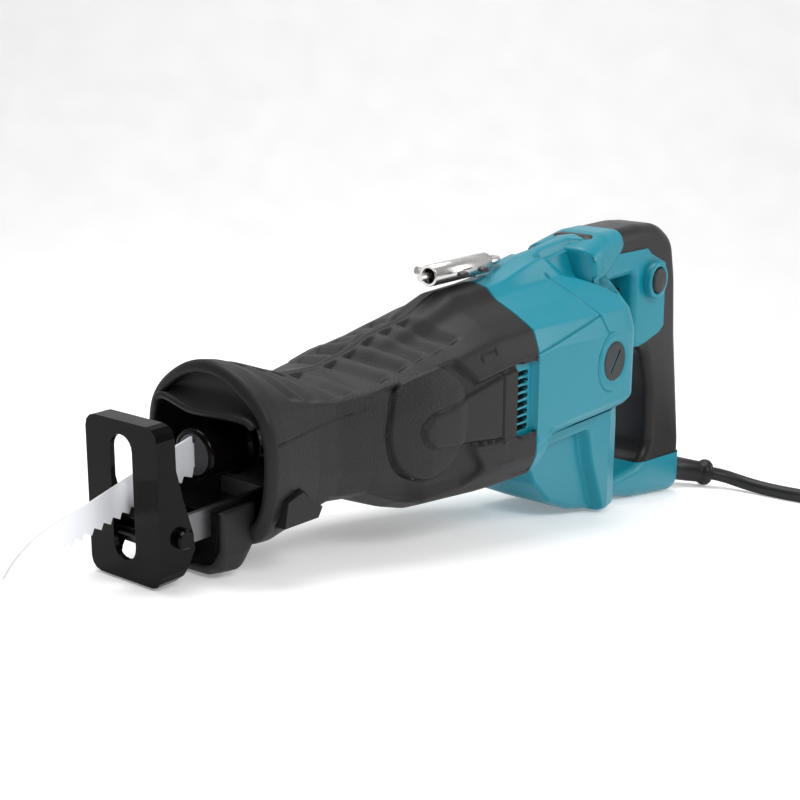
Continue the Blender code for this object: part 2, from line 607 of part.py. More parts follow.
def handle_outline():
    """The D-handle's outer edge, clockwise from the front of its top arm."""
    return rounded([(0.3395, 0.0560, 0), (0.3560, 0.0580, 0.02), (0.3760, 0.0581, 0),
                    (0.3763, 0.0581, 0), (0.4000, 0.0582, 0.05), (0.4230, 0.0560, 0.03),
                    (0.4400, 0.0450, 0.02), (0.4460, 0.0200, 0.04), (0.4500, -0.0180, 0.08),
                    (0.4625, -0.0900, 0.04), (0.4627, -0.0987, 0),
                    (0.4627, -0.0990, 0), (0.4630, -0.1080, 0.02), (0.4600, floor_line(0.4600), 0.006),
                    (0.4020, floor_line(0.4020), 0.01), (0.3800, -0.1100, 0), (0.3395, -0.0900, 0)], 3)


def covered(point):
    """True where the rubber lies over the handle's outer edge."""
    return point[0] > 0.3762 and point[1] > -0.0988


def handle_core():
    """The outer edge with its top and back lowered to take the rubber."""
    edge = handle_outline()
    return [low if covered(point) else point for point, low in zip(edge, shrunk(edge, GRIP_DEPTH))]


def handle_hole():
    """The opening for the hand; trigger at its top, base of the handle below."""
    return rounded([(0.3580, 0.0290, 0.004), (0.3905, 0.0290, 0.002), (0.3905, -0.0165, 0.002),
                    (0.4080, -0.0210, 0.012), (0.4180, -0.0480, 0.04), (0.4200, -0.0960, 0.018),
                    (0.3650, -0.0980, 0.012), (0.3580, -0.0450, 0.02)], 3)


def foot_outline():
    return [(0.2626, -0.0475), (0.2660, -0.0560), (0.2760, -0.0740), (0.2920, -0.0890), (0.3140, -0.0990),
            (0.3380, -0.1050), (0.3660, -0.1080), (0.3700, -0.1000), (0.3620, -0.0800), (0.3560, -0.0465)]


def rear_cap():
    """The closed rear end of the body, behind the motor housing."""
    section = between(HOUSING, 0.3380)
    rings = []
    for x, tighten in ((0.3383, 0.0), (0.3480, 0.0012), (0.3545, 0.0045), (0.3570, 0.0090)):
        rings.append(body_ring(x, *section[1:], inset=tighten or 0.00001))
    return loft(rings)


def make_handle(frame, mats):
    """Two mirrored half shells: rear cap, foot and D-handle in one moulding each."""
    z = MOTOR_Z
    cavities = [cylinder("X", (0.3300, 0, z), 0.0190, 0.0350),
                side_plate([[(0.2700, -0.0500), (0.2800, -0.0730), (0.2940, -0.0860), (0.3150, -0.0955),
                             (0.3530, -0.1030), (0.3530, -0.0500)]], -0.0290, 0.0290),
                box((0.3935, -0.0130, -0.0140), (0.4400, 0.0130, 0.0290)),
                box((0.3850, -0.0086, -0.0125), (0.3990, 0.0086, 0.0205)),
                box((0.4240, -0.0125, -0.1060), (0.4440, 0.0125, -0.0130)),
                box((0.4000, -0.0125, -0.1130), (0.4540, 0.0125, -0.1035))]
    for side, name in ((-1, "left"), (1, "right")):
        far = side * 0.0900
        near = side * GAP / 2
        keep = box((0.2, min(near, far), -0.2), (0.5, max(near, far), 0.1))
        dee = side_plate([handle_core(), handle_hole()], -HANDLE_HALF, HANDLE_HALF)
        foot = side_plate([foot_outline()], -0.0320, 0.0320)
        cutters = [*cavities, cylinder("X", (0.4500, 0, -0.1150), 0.0300, 0.0098)]
        joins = [rear_cap(), foot]
        if side < 0:
            joins.append(cylinder("Y", (0.4110, -0.0233, 0.0228), 0.0070, 0.0112))
            cutters.append(cylinder("Y", (0.4110, -0.0300, 0.0228), 0.0124, 0.0081))
            cutters.append(cylinder("Y", (0.4110, -0.0200, 0.0228), 0.0200, 0.0044, 16))
        else:
            cutters += [cylinder("Y", (x, 0.0142, height), 0.0200, 0.0042, 14) for x, height in SCREWS]
            cutters += [cylinder("Y", (x, -0.0010, height), 0.0200, 0.0022, 10) for x, height in SCREWS]
        handle = add(f"handle_{name}", dee, mats["teal"], frame["saw"], joins=joins, cutters=cutters)
        boolean(handle, keep, "INTERSECT", f"handle_{name}_half")
        if side < 0:
            for number, (x, height) in enumerate(SCREWS):
                thread = cylinder("Y", (x, -0.0090, height), 0.0200, 0.0017, 10)
                boolean(handle, thread, "DIFFERENCE", f"handle_left_thread_{number}")


def make_screws(frame, mats):
    profile = [(0, 0.0165), (0.0034, 0.0165), (0.0038, 0.0160), (0.0038, 0.0145), (0.0014, 0.0145),
               (0.0014, -0.0070), (0, -0.0070)]
    for number, (x, height) in enumerate(SCREWS):
        socket = [cylinder("Y", (x, 0.0152, height), 0.0030, 0.0016, 6)]
        add(f"handle_screw_{number + 1}", turned(profile, "Y", (x, 0, height), False, 14), mats["bright_steel"],
            frame["saw"], cutters=socket)


def make_grips(frame, mats):
    edge = handle_outline()
    ends = [pair for pair in zip(edge, shrunk(edge, GRIP_DEPTH - GAP)) if covered(pair[0])]
    band = [outer for outer, _ in ends] + [inner for _, inner in reversed(ends)]
    half = HANDLE_HALF + 0.0008
    add("grip_rear", side_plate([band], -half, half), mats["rubber"], frame["saw"])
    hole = handle_hole()
    near, far = shrunk(hole, GAP), shrunk(hole, 0.0028)
    back = [i for i, (x, z) in enumerate(hole) if x > 0.4030 and z < -0.0200]
    lining = [near[i] for i in back] + [far[i] for i in reversed(back)]
    add("grip_front", side_plate([lining], -0.0165, 0.0165), mats["rubber"], frame["saw"])


def make_controls(frame, mats):
    trigger = rounded([(0.3920, 0.0195, 0.001), (0.3780, 0.0185, 0.004), (0.3800, 0.0040, 0.03),
                       (0.3765, -0.0115, 0.002), (0.3920, -0.0120, 0.001)], 3)
    add("trigger", side_plate([trigger], -0.0080, 0.0080), mats["grey_plastic"], frame["trigger"],
        joins=[box((0.3910, -0.0080, -0.0080), (0.3980, 0.0080, 0.0150))])
    add("switch_body", box((0.4062, -0.0110, -0.0120), (0.4380, 0.0110, 0.0270)), mats["grey_plastic"],
        frame["saw"])
    turns, per_turn = 4, 8
    coil = [(0.3990 + 0.0062 * k / (turns * per_turn), 0.0030 * cos(2 * pi * k / per_turn),
             0.0035 + 0.0030 * sin(2 * pi * k / per_turn)) for k in range(turns * per_turn + 1)]
    add("trigger_spring", wire(coil, 0.0004, resolution=1), mats["bright_steel"], frame["saw"])
    profile = [(0, -0.0146), (0.0040, -0.0146), (0.0040, -0.0210), (0.0078, -0.0210), (0.0078, -0.0238),
               (0.0070, -0.0244), (0, -0.0244)]
    add("lock_on_button", turned(profile, "Y", (0.4110, 0, 0.0228), False, 24), mats["grey_plastic"],
        frame["lock_on"])
    add("cord_clamp", box((0.4300, -0.0110, -0.1085), (0.4400, 0.0110, -0.1050)), mats["grey_plastic"],
        frame["saw"])


# ---------------------------------------------------------------- hook
def make_hook(frame, mats):
    y, z = HOOK_AXIS
    barrel = ring("X", (0.2110, y, z), 0.0500, 0.0042, 0.0057, 24)
    wing = box((0.2160, -0.0150, z - 0.0020), (0.2600, y - 0.0050, z - 0.0006))
    holes = [cylinder("Z", (x, -0.0095, z - 0.0100), 0.0200, 0.0022, 12) for x in (0.2260, 0.2440)]
    post = box((0.2490, -0.0122, 0.0459), (0.2600, y + 0.0020, z - 0.0010))
    bore = cylinder("X", (0.2000, y, z), 0.0700, 0.0042, 24)
    add("hook_bracket", barrel, mats["bright_steel"], frame["saw"], joins=[wing, post], cutters=[*holes, bore])
    route = [(0.2040, y, z), (0.2700, y, z), (0.2745, y + 0.0012, z), (0.2775, y + 0.0045, z - 0.0004),
             (0.2775, y + 0.0085, z - 0.0010), (0.2745, y + 0.0118, z - 0.0016), (0.2700, y + 0.0130, z - 0.0020),
             (0.2300, y + 0.0130, z - 0.0020), (0.2240, y + 0.0138, z - 0.0012), (0.2200, y + 0.0150, z)]
    add("hook", wire(route, 0.0020, resolution=2), mats["bright_steel"], frame["hook"])


# ---------------------------------------------------------------- mains lead, in the world's frame
GUARD_ROUTE = [(0.2628, 0.0, 0.0122), (0.2700, -0.0002, 0.0130), (0.2800, -0.0020, 0.0126),
               (0.2900, -0.0060, 0.0112), (0.3000, -0.0125, 0.0101), (0.3080, -0.0200, 0.0096)]
LEAD_ROUTE = [(0.3086, -0.0206, 0.0095), (0.3145, -0.0280, 0.0084), (0.3185, -0.0390, 0.0064),
              (0.3205, -0.0520, 0.0050), (0.3222, -0.0680, 0.0046), (0.3262, -0.0850, 0.0046),
              (0.3340, -0.1020, 0.0046), (0.3450, -0.1180, 0.0046), (0.3590, -0.1330, 0.0046),
              (0.3755, -0.1468, 0.0046), (0.3937, -0.1569, 0.0046)]


def smooth_route(points, spacing):
    """Evenly spaced points on a smooth curve through the given ones."""
    dense = []
    ends = [Vector(points[0]) * 2 - Vector(points[1])] + [Vector(p) for p in points]
    ends.append(Vector(points[-1]) * 2 - Vector(points[-2]))
    for a, b, c, d in zip(ends, ends[1:], ends[2:], ends[3:]):
        dense += interpolate_bezier(b, b + (c - a) / 6, c - (d - b) / 6, c, 24)[:-1]
    dense.append(Vector(points[-1]))
    route, left = [dense[0]], spacing
    for a, b in zip(dense, dense[1:]):
        length = (b - a).length
        while left <= length:
            route.append(a.lerp(b, left / length))
            left += spacing
        left -= length
    if (route[-1] - dense[-1]).length < spacing / 2:
        route.pop()
    return route + [dense[-1]]


def make_lead(mats):
    guard = smooth_route(GUARD_ROUTE, 0.0045)
    last = len(guard) - 1
    radii = [1.0 - 0.18 * k / last for k in range(last + 1)]
    radii[-2] = radii[-1] = 1.0
    add("cord_guard", wire(guard, 0.0090, resolution=3, radii=radii), mats["rubber"], None)
    add("cord_lead", wire(smooth_route(LEAD_ROUTE, 0.0110), CORD_RADIUS), mats["cord"], None)


def build():
    global PARTS, CUTTERS
    clear_scene()
    PARTS = new_collection("reciprocating_saw")
    CUTTERS = new_collection("cutters")
    mats = {
        "black_steel": material("black_steel", (0.012, 0.012, 0.013), 0.18, 0.3),
        "dark_steel": material("dark_steel", (0.09, 0.09, 0.095), 0.4, 0.9),
        "bright_steel": material("bright_steel", (0.62, 0.61, 0.59), 0.28, 1.0),
        "blade_steel": material("blade_steel", (0.80, 0.80, 0.82), 0.25, 1.0),
        "gear_steel": material("gear_steel", (0.35, 0.34, 0.33), 0.35, 1.0),
        "aluminium": material("aluminium", (0.55, 0.55, 0.56), 0.45, 1.0),
        "bronze": material("bronze", (0.45, 0.28, 0.12), 0.4, 1.0),
        "brass": material("brass", (0.65, 0.48, 0.18), 0.35, 1.0),
        "copper": material("copper", (0.60, 0.25, 0.12), 0.35, 1.0),
        "lamination": material("lamination", (0.20, 0.20, 0.21), 0.5, 0.9),
        "carbon": material("carbon", (0.03, 0.03, 0.03), 0.7, 0.0),
        "boot": material("boot", (0.035, 0.033, 0.036), 0.55, 0.0),
        "rubber": material("rubber", (0.03, 0.028, 0.03), 0.6, 0.0),
        "cap": material("cap", (0.05, 0.05, 0.052), 0.5, 0.0),
        "grey_plastic": material("grey_plastic", (0.08, 0.08, 0.085), 0.5, 0.0),
        "teal": material("teal", (0.0, 0.24, 0.30), 0.4, 0.0),
        "cord": material("cord", (0.012, 0.012, 0.012), 0.45, 0.0),
    }
    saw = empty("saw_frame", None, STAND)
    saw.rotation_euler = (0, -PITCH, 0)
    frame = {"saw": saw,
             "slider": empty("axis_blade_stroke", saw, (CRANK_X, 0, SLIDE_Z)),
             "sleeve": empty("axis_clamp_release", saw, (0.0520, 0, SLIDE_Z)),
             "crank": empty("axis_crank_spin", saw, (CRANK_X, 0, MOTOR_Z)),
             "armature": empty("axis_armature_spin", saw, (0.2680, 0, MOTOR_Z)),
             "carriage": empty("axis_shoe_extend", saw, (0.0600, 0, -0.0280)),
             "shoe": empty("axis_shoe_tilt", saw, (SHOE_PIN[0], 0, SHOE_PIN[1])),
             "shoe_lock": empty("axis_shoe_lock", saw, (0.0660, -0.0385, -0.0275)),
             "trigger": empty("axis_trigger_pull", saw, (0.3850, 0, 0.0035)),
             "lock_on": empty("axis_lock_on_press", saw, (0.4110, -0.0244, 0.0228)),
             "hook": empty("axis_hook_fold", saw, (0.2340, *HOOK_AXIS))}
    for make in (make_shoe, make_shoe_carriage, make_shoe_lock, make_blade_group, make_yoke, make_bushes,
                 make_boot, make_gear_case, make_crank, make_armature, make_bearings, make_stator,
                 make_brushes, make_motor_housing, make_handle, make_screws, make_grips, make_controls,
                 make_hook):
        make(frame, mats)
    make_lead(mats)
    make_coil(mats)
    for ob in (*PARTS.objects, *CUTTERS.objects):
        ob.hide_set(ob.name in CUTTERS.objects)


def make_coil(mats):
    """The rest of the lead, wound; its tie; and the plug that lies on it."""
    x, y = COIL_CENTRE
    half, low = COIL_HALF, 0.0018
    section = [(COIL_RADIUS + half, 0.0210), (COIL_RADIUS + half, 0.0065), (COIL_RADIUS + half - 0.0045, 0.0),
               (COIL_RADIUS - half + 0.0045, 0.0), (COIL_RADIUS - half, 0.0065), (COIL_RADIUS - half, 0.0210),
               (COIL_RADIUS - half + 0.0045, 0.0272), (COIL_RADIUS + half - 0.0045, 0.0272)]
    add("cord_coil", turned(section, "Z", (x, y, low), True, 36), mats["cord"], None)
    band = rounded_rectangle(COIL_RADIUS - half - 0.0018, COIL_RADIUS + half + 0.0018, 0.0, 0.0308, 0.004, 2)
    hole = rounded_rectangle(COIL_RADIUS - half - 0.0004, COIL_RADIUS + half + 0.0004, 0.0014, 0.0294, 0.003, 2)
    tie = plate([band, hole], -0.0035, 0.0035, TO_XZ)
    tie.transform(Matrix.Translation((x, y, 0)) @ Matrix.Rotation(radians(45), 4, "Z"))
    add("coil_tie", tie, mats["rubber"], None)
    body = [(0, 0.0480), (0.0150, 0.0480), (0.0180, 0.0440), (0.0180, 0.0330), (0.0120, 0.0200),
            (0.0085, 0.0120), (0.0062, 0.0), (0, 0.0)]
    place = Matrix.Translation((x - 0.0020, y - 0.0450, 0.0474)) @ Matrix.Rotation(radians(8), 4, "Z")
    plug = turned(body, "X", (0, 0, 0), False, 24)
    plug.transform(place)
    pins = [cylinder("X", (0.0470, side * 0.0095, 0), 0.0200, 0.0024, 12) for side in (-1, 1)]
    for pin in pins:
        pin.transform(place)
    add("plug", plug, mats["rubber"], None, joins=pins)
    tail = [(x + r * cos(radians(angle)), y + r * sin(radians(angle)), height)
            for angle, r, height in ((206, 0.0426, 0.0352), (222, 0.0440, 0.0388), (238, 0.0460, 0.0432))]
    tail += [place @ Vector(p) for p in ((-0.0100, 0, -0.0002), (-0.0004, 0, 0))]
    add("cord_tail", wire(smooth_route(tail, 0.0080), CORD_RADIUS), mats["cord"], None)


build()
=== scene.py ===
"""Looks for the corded reciprocating saw: rubber nose, teal housing, D-handle, steel blade and mains lead.

Pieces are modelled in the saw's own frame (X along the stroke, towards the handle; Y towards its right; Z up)
and are then set at the angle at which the saw rests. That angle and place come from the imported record.
"""
import bmesh
import bpy
import json
import numpy as np
from math import atan2, cos, hypot, pi, radians, sin, sqrt
from mathutils import Matrix, Vector
from mathutils.geometry import interpolate_bezier


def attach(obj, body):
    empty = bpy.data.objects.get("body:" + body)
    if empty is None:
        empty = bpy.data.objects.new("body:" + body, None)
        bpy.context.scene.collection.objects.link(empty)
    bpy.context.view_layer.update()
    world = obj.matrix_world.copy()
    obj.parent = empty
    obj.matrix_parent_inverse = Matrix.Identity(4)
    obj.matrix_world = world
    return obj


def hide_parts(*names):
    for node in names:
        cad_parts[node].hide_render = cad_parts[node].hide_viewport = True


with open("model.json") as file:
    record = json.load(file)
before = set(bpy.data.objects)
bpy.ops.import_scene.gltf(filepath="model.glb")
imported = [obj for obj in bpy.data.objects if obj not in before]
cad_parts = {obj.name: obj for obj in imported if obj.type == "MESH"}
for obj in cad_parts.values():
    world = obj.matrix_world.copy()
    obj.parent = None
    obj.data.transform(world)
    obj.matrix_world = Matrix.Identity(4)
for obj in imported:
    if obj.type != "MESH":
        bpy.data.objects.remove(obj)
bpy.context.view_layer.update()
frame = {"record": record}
JOINTS = {joint["name"]: joint for joint in frame["record"]["behaviour"]["joints"]}

# ---------------------------------------------------------------- the saw's own frame
STROKE_AXIS = Vector(JOINTS["blade_stroke"]["axis"])
PITCH = atan2(STROKE_AXIS.z, STROKE_AXIS.x)
TURN = Matrix.Rotation(-PITCH, 4, "Y")
SHOE_PIN = Vector((0.010, 0.0, -0.0286))
SAW = Matrix.Translation(Vector(JOINTS["shoe_tilt"]["pos_m"]) - TURN.to_3x3() @ SHOE_PIN) @ TURN

MM = 0.001
MOTOR_Z = -8.0
SLIDE_Z = -3.0
CAP_X = 324.0


# ---------------------------------------------------------------- camera, floor and lights
def make_camera():
    """The viewing angle, height and slight roll of a camera ahead of the saw and to its left."""
    azimuth, elevation, roll = radians(-51.605), radians(15.48), radians(0.349)
    back = Vector((sin(azimuth) * cos(elevation), -cos(azimuth) * cos(elevation), sin(elevation)))
    right = Vector((cos(azimuth), sin(azimuth), 0))
    up = back.cross(right)
    across = right * cos(roll) + up * sin(roll)
    upward = up * cos(roll) - right * sin(roll)
    facing = Matrix((across, upward, back)).transposed().to_4x4()
    place = Matrix.Translation((-0.4062, -0.4689, 0.19985)) @ facing
    camera = bpy.data.objects.new("camera", bpy.data.cameras.new("camera"))
    camera.data.sensor_width = 36.0
    camera.data.lens = 68.45
    camera.data.clip_start = 0.01
    camera.matrix_world = SAW @ place
    bpy.context.scene.collection.objects.link(camera)
    bpy.context.scene.camera = camera


def area_light(name, location, target, size, power):
    light = bpy.data.lights.new(name, "AREA")
    light.shape = "RECTANGLE"
    light.size, light.size_y = size
    light.energy = power
    lamp = bpy.data.objects.new(name, light)
    lamp.location = location
    lamp.rotation_euler = (Vector(target) - Vector(location)).to_track_quat("-Z", "Y").to_euler()
    bpy.context.scene.collection.objects.link(lamp)


def make_studio():
    """A pale floor that curves up behind the saw, light from all round, and three lamps."""
    flat, bend, top = 1.2, 0.8, 3.0
    arc = [(flat + bend * sin(a), bend * (1 - cos(a))) for a in np.linspace(0.1, pi / 2, 12)]
    profile = [(-3.0, 0.0), (flat, 0.0), *arc, (flat + bend, top)]
    mesh = bpy.data.meshes.new("floor")
    points = [(s, side, h) for s, h in profile for side in (-4.0, 4.0)]
    faces = [(2 * k, 2 * k + 1, 2 * k + 3, 2 * k + 2) for k in range(len(profile) - 1)]
    mesh.from_pydata(points, [], faces)
    mesh.flip_normals()
    mesh.transform(Matrix.Rotation(radians(38.4), 4, "Z"))
    mesh.shade_smooth()
    white = finish("floor_white", (0.90, 0.90, 0.90), 0.7, speckle=0.01, bump=0.0, scale=4)
    shader = white.node_tree.nodes["Principled BSDF"]
    shader.inputs["Emission Color"].default_value = (1, 1, 1, 1)
    shader.inputs["Emission Strength"].default_value = 0.22
    mesh.materials.append(white)
    floor = bpy.data.objects.new("floor", mesh)
    bpy.context.scene.collection.objects.link(floor)
    make_world()
    bpy.context.scene.view_settings.view_transform = "Standard"
    area_light("overhead", (0.05, 0.30, 1.5), (0.0, 0.0, 0.0), (1.3, 0.8), 17)
    area_light("key", (-0.55, -1.1, 1.0), (0.0, 0.0, 0.05), (0.5, 0.5), 10)
    area_light("side", (1.0, -0.9, 0.6), (0.15, 0.0, 0.05), (0.3, 0.9), 5)


def make_world():
    """Soft light from all round, strongest from above and behind the saw."""
    world = bpy.data.worlds.new("studio")
    world.use_nodes = True
    nodes, links = world.node_tree.nodes, world.node_tree.links
    nodes["Background"].inputs["Color"].default_value = (1, 1, 1, 1)
    where = nodes.new("ShaderNodeTexCoord")
    height = nodes.new("ShaderNodeVectorMath")
    height.operation = "DOT_PRODUCT"
    height.inputs[1].default_value = (0.40, 0.45, 0.80)
    links.new(where.outputs["Generated"], height.inputs[0])
    level = nodes.new("ShaderNodeMapRange")
    level.inputs["From Min"].default_value = -0.6
    level.inputs["To Min"].default_value = 0.10
    level.inputs["To Max"].default_value = 0.62
    links.new(height.outputs["Value"], level.inputs["Value"])
    links.new(level.outputs["Result"], nodes["Background"].inputs["Strength"])
    bpy.context.scene.world = world


# ---------------------------------------------------------------- materials
def finish(name, colour, roughness, metallic=0.0, speckle=0.06, bump=0.15, scale=400.0,
           stretch=(1, 1, 1), grain=0.0, variation=0.08, gloss=0.5):
    """Uneven colour and roughness, a fine surface texture, and grain where a mesh's mask asks for it."""
    mat = bpy.data.materials.new(name)
    mat.use_nodes = True
    nodes, links = mat.node_tree.nodes, mat.node_tree.links
    shader = nodes["Principled BSDF"]
    shader.inputs["Metallic"].default_value = metallic
    shader.inputs["Specular IOR Level"].default_value = gloss
    where = nodes.new("ShaderNodeTexCoord")
    mapping = nodes.new("ShaderNodeMapping")
    mapping.inputs["Scale"].default_value = stretch
    links.new(where.outputs["Object"], mapping.inputs["Vector"])
    fine, broad = [nodes.new("ShaderNodeTexNoise") for _ in range(2)]
    for texture, size, detail in ((fine, scale, 4.0), (broad, 18.0, 3.0)):
        texture.inputs["Scale"].default_value = size
        texture.inputs["Detail"].default_value = detail
        links.new(mapping.outputs["Vector"], texture.inputs["Vector"])
    shade = nodes.new("ShaderNodeMix")
    shade.data_type = "RGBA"
    shade.inputs["A"].default_value = (*[c * (1 - variation) for c in colour], 1)
    shade.inputs["B"].default_value = (*[min(1, c * (1 + variation)) for c in colour], 1)
    links.new(broad.outputs["Fac"], shade.inputs["Factor"])
    links.new(shade.outputs["Result"], shader.inputs["Base Color"])
    rough = nodes.new("ShaderNodeMapRange")
    rough.inputs["To Min"].default_value = max(0.02, roughness - speckle)
    rough.inputs["To Max"].default_value = roughness + speckle
    links.new(fine.outputs["Fac"], rough.inputs["Value"])
    links.new(rough.outputs["Result"], shader.inputs["Roughness"])
    if bump or grain:
        relief = nodes.new("ShaderNodeBump")
        relief.inputs["Strength"].default_value = bump
        relief.inputs["Distance"].default_value = 0.0002
        links.new(fine.outputs["Fac"], relief.inputs["Height"])
        last = relief
        if grain:
            mask = nodes.new("ShaderNodeAttribute")
            mask.attribute_name = "grain"
            pebble = nodes.new("ShaderNodeTexVoronoi")
            pebble.inputs["Scale"].default_value = 900.0
            links.new(where.outputs["Object"], pebble.inputs["Vector"])
            amount = nodes.new("ShaderNodeMath")
            amount.operation = "MULTIPLY"
            amount.inputs[1].default_value = grain
            links.new(mask.outputs["Fac"], amount.inputs[0])
            last = nodes.new("ShaderNodeBump")
            last.inputs["Distance"].default_value = 0.0003
            links.new(amount.outputs["Value"], last.inputs["Strength"])
            links.new(pebble.outputs["Distance"], last.inputs["Height"])
            links.new(relief.outputs["Normal"], last.inputs["Normal"])
        links.new(last.outputs["Normal"], shader.inputs["Normal"])
    return mat


def make_materials():
    return {
        "boot": finish("boot_rubber", (0.0125, 0.0115, 0.0125), 0.50, bump=0.12, scale=1500, grain=0.6,
                       gloss=0.22),
        "rubber": finish("grip_rubber", (0.0115, 0.0100, 0.0110), 0.38, bump=0.2, scale=1600, gloss=0.24),
        "teal": finish("teal_plastic", (0.003, 0.205, 0.275), 0.34, speckle=0.03, bump=0.05, scale=1800,
                       variation=0.02, gloss=0.3),
        # painted shade: a near-black teal laid on the floors of the cooling slots, standing in for the shade
        # inside them
        "vent": finish("vent_painted_shade", (0.001, 0.012, 0.016), 0.5, speckle=0.03, bump=0.08, scale=1800),
        "grey_plastic": finish("grey_plastic", (0.022, 0.021, 0.022), 0.45, bump=0.15, scale=1500, gloss=0.3),
        "black_steel": finish("black_enamel", (0.0020, 0.0016, 0.0014), 0.15, speckle=0.04, bump=0.02,
                              scale=300, gloss=0.10),
        "dark_steel": finish("dark_steel", (0.05, 0.05, 0.055), 0.3, metallic=0.8, bump=0.05),
        "grey_steel": finish("grey_steel", (0.16, 0.16, 0.165), 0.38, metallic=1.0, bump=0.1, scale=500),
        "bright_steel": finish("bright_steel", (0.62, 0.61, 0.60), 0.26, metallic=1.0, bump=0.06,
                               stretch=(1, 1, 0.15)),
        "blade_steel": finish("blade_steel", (0.83, 0.84, 0.88), 0.34, metallic=0.35, bump=0.05, scale=700,
                              stretch=(0.06, 1, 1), variation=0.03),
        "gear_steel": finish("gear_steel", (0.35, 0.34, 0.33), 0.35, metallic=1.0),
        "aluminium": finish("cast_aluminium", (0.52, 0.52, 0.53), 0.45, metallic=1.0, bump=0.4, scale=700),
        "bronze": finish("bronze", (0.45, 0.28, 0.12), 0.4, metallic=1.0),
        "brass": finish("brass", (0.65, 0.48, 0.18), 0.3, metallic=1.0),
        "copper": finish("copper_winding", (0.55, 0.22, 0.10), 0.35, metallic=1.0, bump=0.5, scale=300),
        "lamination": finish("lamination", (0.20, 0.20, 0.21), 0.5, metallic=0.9, bump=0.4,
                             stretch=(12, 1, 1)),
        "carbon": finish("carbon", (0.03, 0.03, 0.03), 0.7),
        "cord": finish("cord_rubber", (0.010, 0.010, 0.010), 0.42, bump=0.12, scale=1200, gloss=0.3),
    }


# ---------------------------------------------------------------- modelling helpers
def new_object(name, mesh, mats, key, nodes=(), body="saw", in_saw=True, sharp=35):
    """Puts a finished mesh on its body, in its finish, in place of the CAD nodes that it stands for."""
    if in_saw:
        mesh.transform(SAW)
    if not mesh.materials:
        mesh.materials.append(mats[key])
    mesh.shade_smooth()
    mesh.set_sharp_from_angle(angle=radians(sharp))
    ob = bpy.data.objects.new(name, mesh)
    bpy.context.scene.collection.objects.link(ob)
    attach(ob, body)
    if nodes:
        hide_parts(*nodes)
    return ob


def from_bmesh(bm):
    mesh = bpy.data.meshes.new("mesh")
    bm.to_mesh(mesh)
    bm.free()
    return mesh


def grid_mesh(rows, flip=False):
    """A mesh from a grid of points in mm, rows along and columns all the way round."""
    rows = np.asarray(rows)
    along, around = rows.shape[:2]
    index = np.arange(along * around).reshape(along, around)
    nxt = np.roll(index, -1, axis=1)
    faces = np.stack([index[:-1], index[1:], nxt[1:], nxt[:-1]], axis=-1)
    faces = faces.reshape(-1, 4)
    if flip:
        faces = faces[:, ::-1]
    mesh = bpy.data.meshes.new("grid")
    mesh.from_pydata((rows.reshape(-1, 3) * MM).tolist(), [], faces.tolist())
    return mesh


def smooth(values, sigma, axis=0, wrap=False):
    """Gaussian smoothing of an array along one axis, in samples."""
    reach = int(sigma * 3) + 1
    weights = np.exp(-0.5 * (np.arange(-reach, reach + 1) / sigma) ** 2)
    weights /= weights.sum()
    pad = [(0, 0)] * values.ndim
    pad[axis] = (reach, reach)
    wide = np.pad(values, pad, mode="wrap" if wrap else "edge")
    total = np.zeros_like(values)
    for k, weight in enumerate(weights):
        total += weight * np.take(wide, range(k, k + values.shape[axis]), axis=axis)
    return total


def ramp(value, low, high):
    """0 below low, 1 above high, and a smooth rise between."""
    t = np.clip((value - low) / (high - low), 0.0, 1.0)
    return t * t * (3 - 2 * t)


def inside(px, pz, corners, soft):
    """1 inside an outline and 0 outside it, with a soft step of the given width at its edge."""
    return 1.0 - ramp(edge_distance(px, pz, corners), -soft, soft)


def edge_distance(px, pz, corners):
    """Signed distance to a closed outline: negative inside."""
    corners = np.asarray(corners, float)
    best = np.full(px.shape, 1e9)
    odd = np.zeros(px.shape, bool)
    for (ax, az), (bx, bz) in zip(corners, np.roll(corners, -1, axis=0)):
        dx, dz = bx - ax, bz - az
        t = np.clip(((px - ax) * dx + (pz - az) * dz) / (dx * dx + dz * dz), 0, 1)
        best = np.minimum(best, np.hypot(px - ax - t * dx, pz - az - t * dz))
        crosses = (az > pz) != (bz > pz)
        with np.errstate(divide="ignore", invalid="ignore"):
            odd ^= crosses & (px < dx * (pz - az) / (dz if dz else 1e-9) + ax)
    return np.where(odd, -best, best)


def line_groove(px, pz, points, width):
    """1 along an open line of points, falling to 0 across the given width."""
    best = np.full(px.shape, 1e9)
    for (ax, az), (bx, bz) in zip(points, points[1:]):
        dx, dz = bx - ax, bz - az
        t = np.clip(((px - ax) * dx + (pz - az) * dz) / (dx * dx + dz * dz), 0, 1)
        best = np.minimum(best, np.hypot(px - ax - t * dx, pz - az - t * dz))
    return np.exp(-(best / width) ** 2)


def rounded(corners, steps=6):
    """An outline from (a, b, radius) corners, each replaced by an arc."""
    points = []
    count = len(corners)
    for i, (a, b, radius) in enumerate(corners):
        here = Vector((a, b))
        back = (Vector(corners[i - 1][:2]) - here).normalized()
        ahead = (Vector(corners[(i + 1) % count][:2]) - here).normalized()
        if radius == 0:
            points.append((a, b))
            continue
        half = back.angle(ahead) / 2
        centre = here + (back + ahead).normalized() * (radius / sin(half))
        reach = radius / (sin(half) / cos(half))
        start = here + back * reach - centre
        end = here + ahead * reach - centre
        turn = atan2(start.x * end.y - start.y * end.x, start.dot(end))
        for k in range(steps + 1):
            angle = turn * k / steps
            points.append((centre.x + start.x * cos(angle) - start.y * sin(angle),
                           centre.y + start.x * sin(angle) + start.y * cos(angle)))
    return points


def resample(outline, spacing):
    """Evenly spaced points round a closed outline."""
    points = np.asarray(outline, float)
    closed = np.vstack([points, points[:1]])
    lengths = np.hypot(*np.diff(closed, axis=0).T)
    total = np.concatenate([[0], np.cumsum(lengths)])
    count = max(16, int(total[-1] / spacing))
    at = np.linspace(0, total[-1], count, endpoint=False)
    return np.stack([np.interp(at, total, closed[:, k]) for k in (0, 1)], axis=-1)


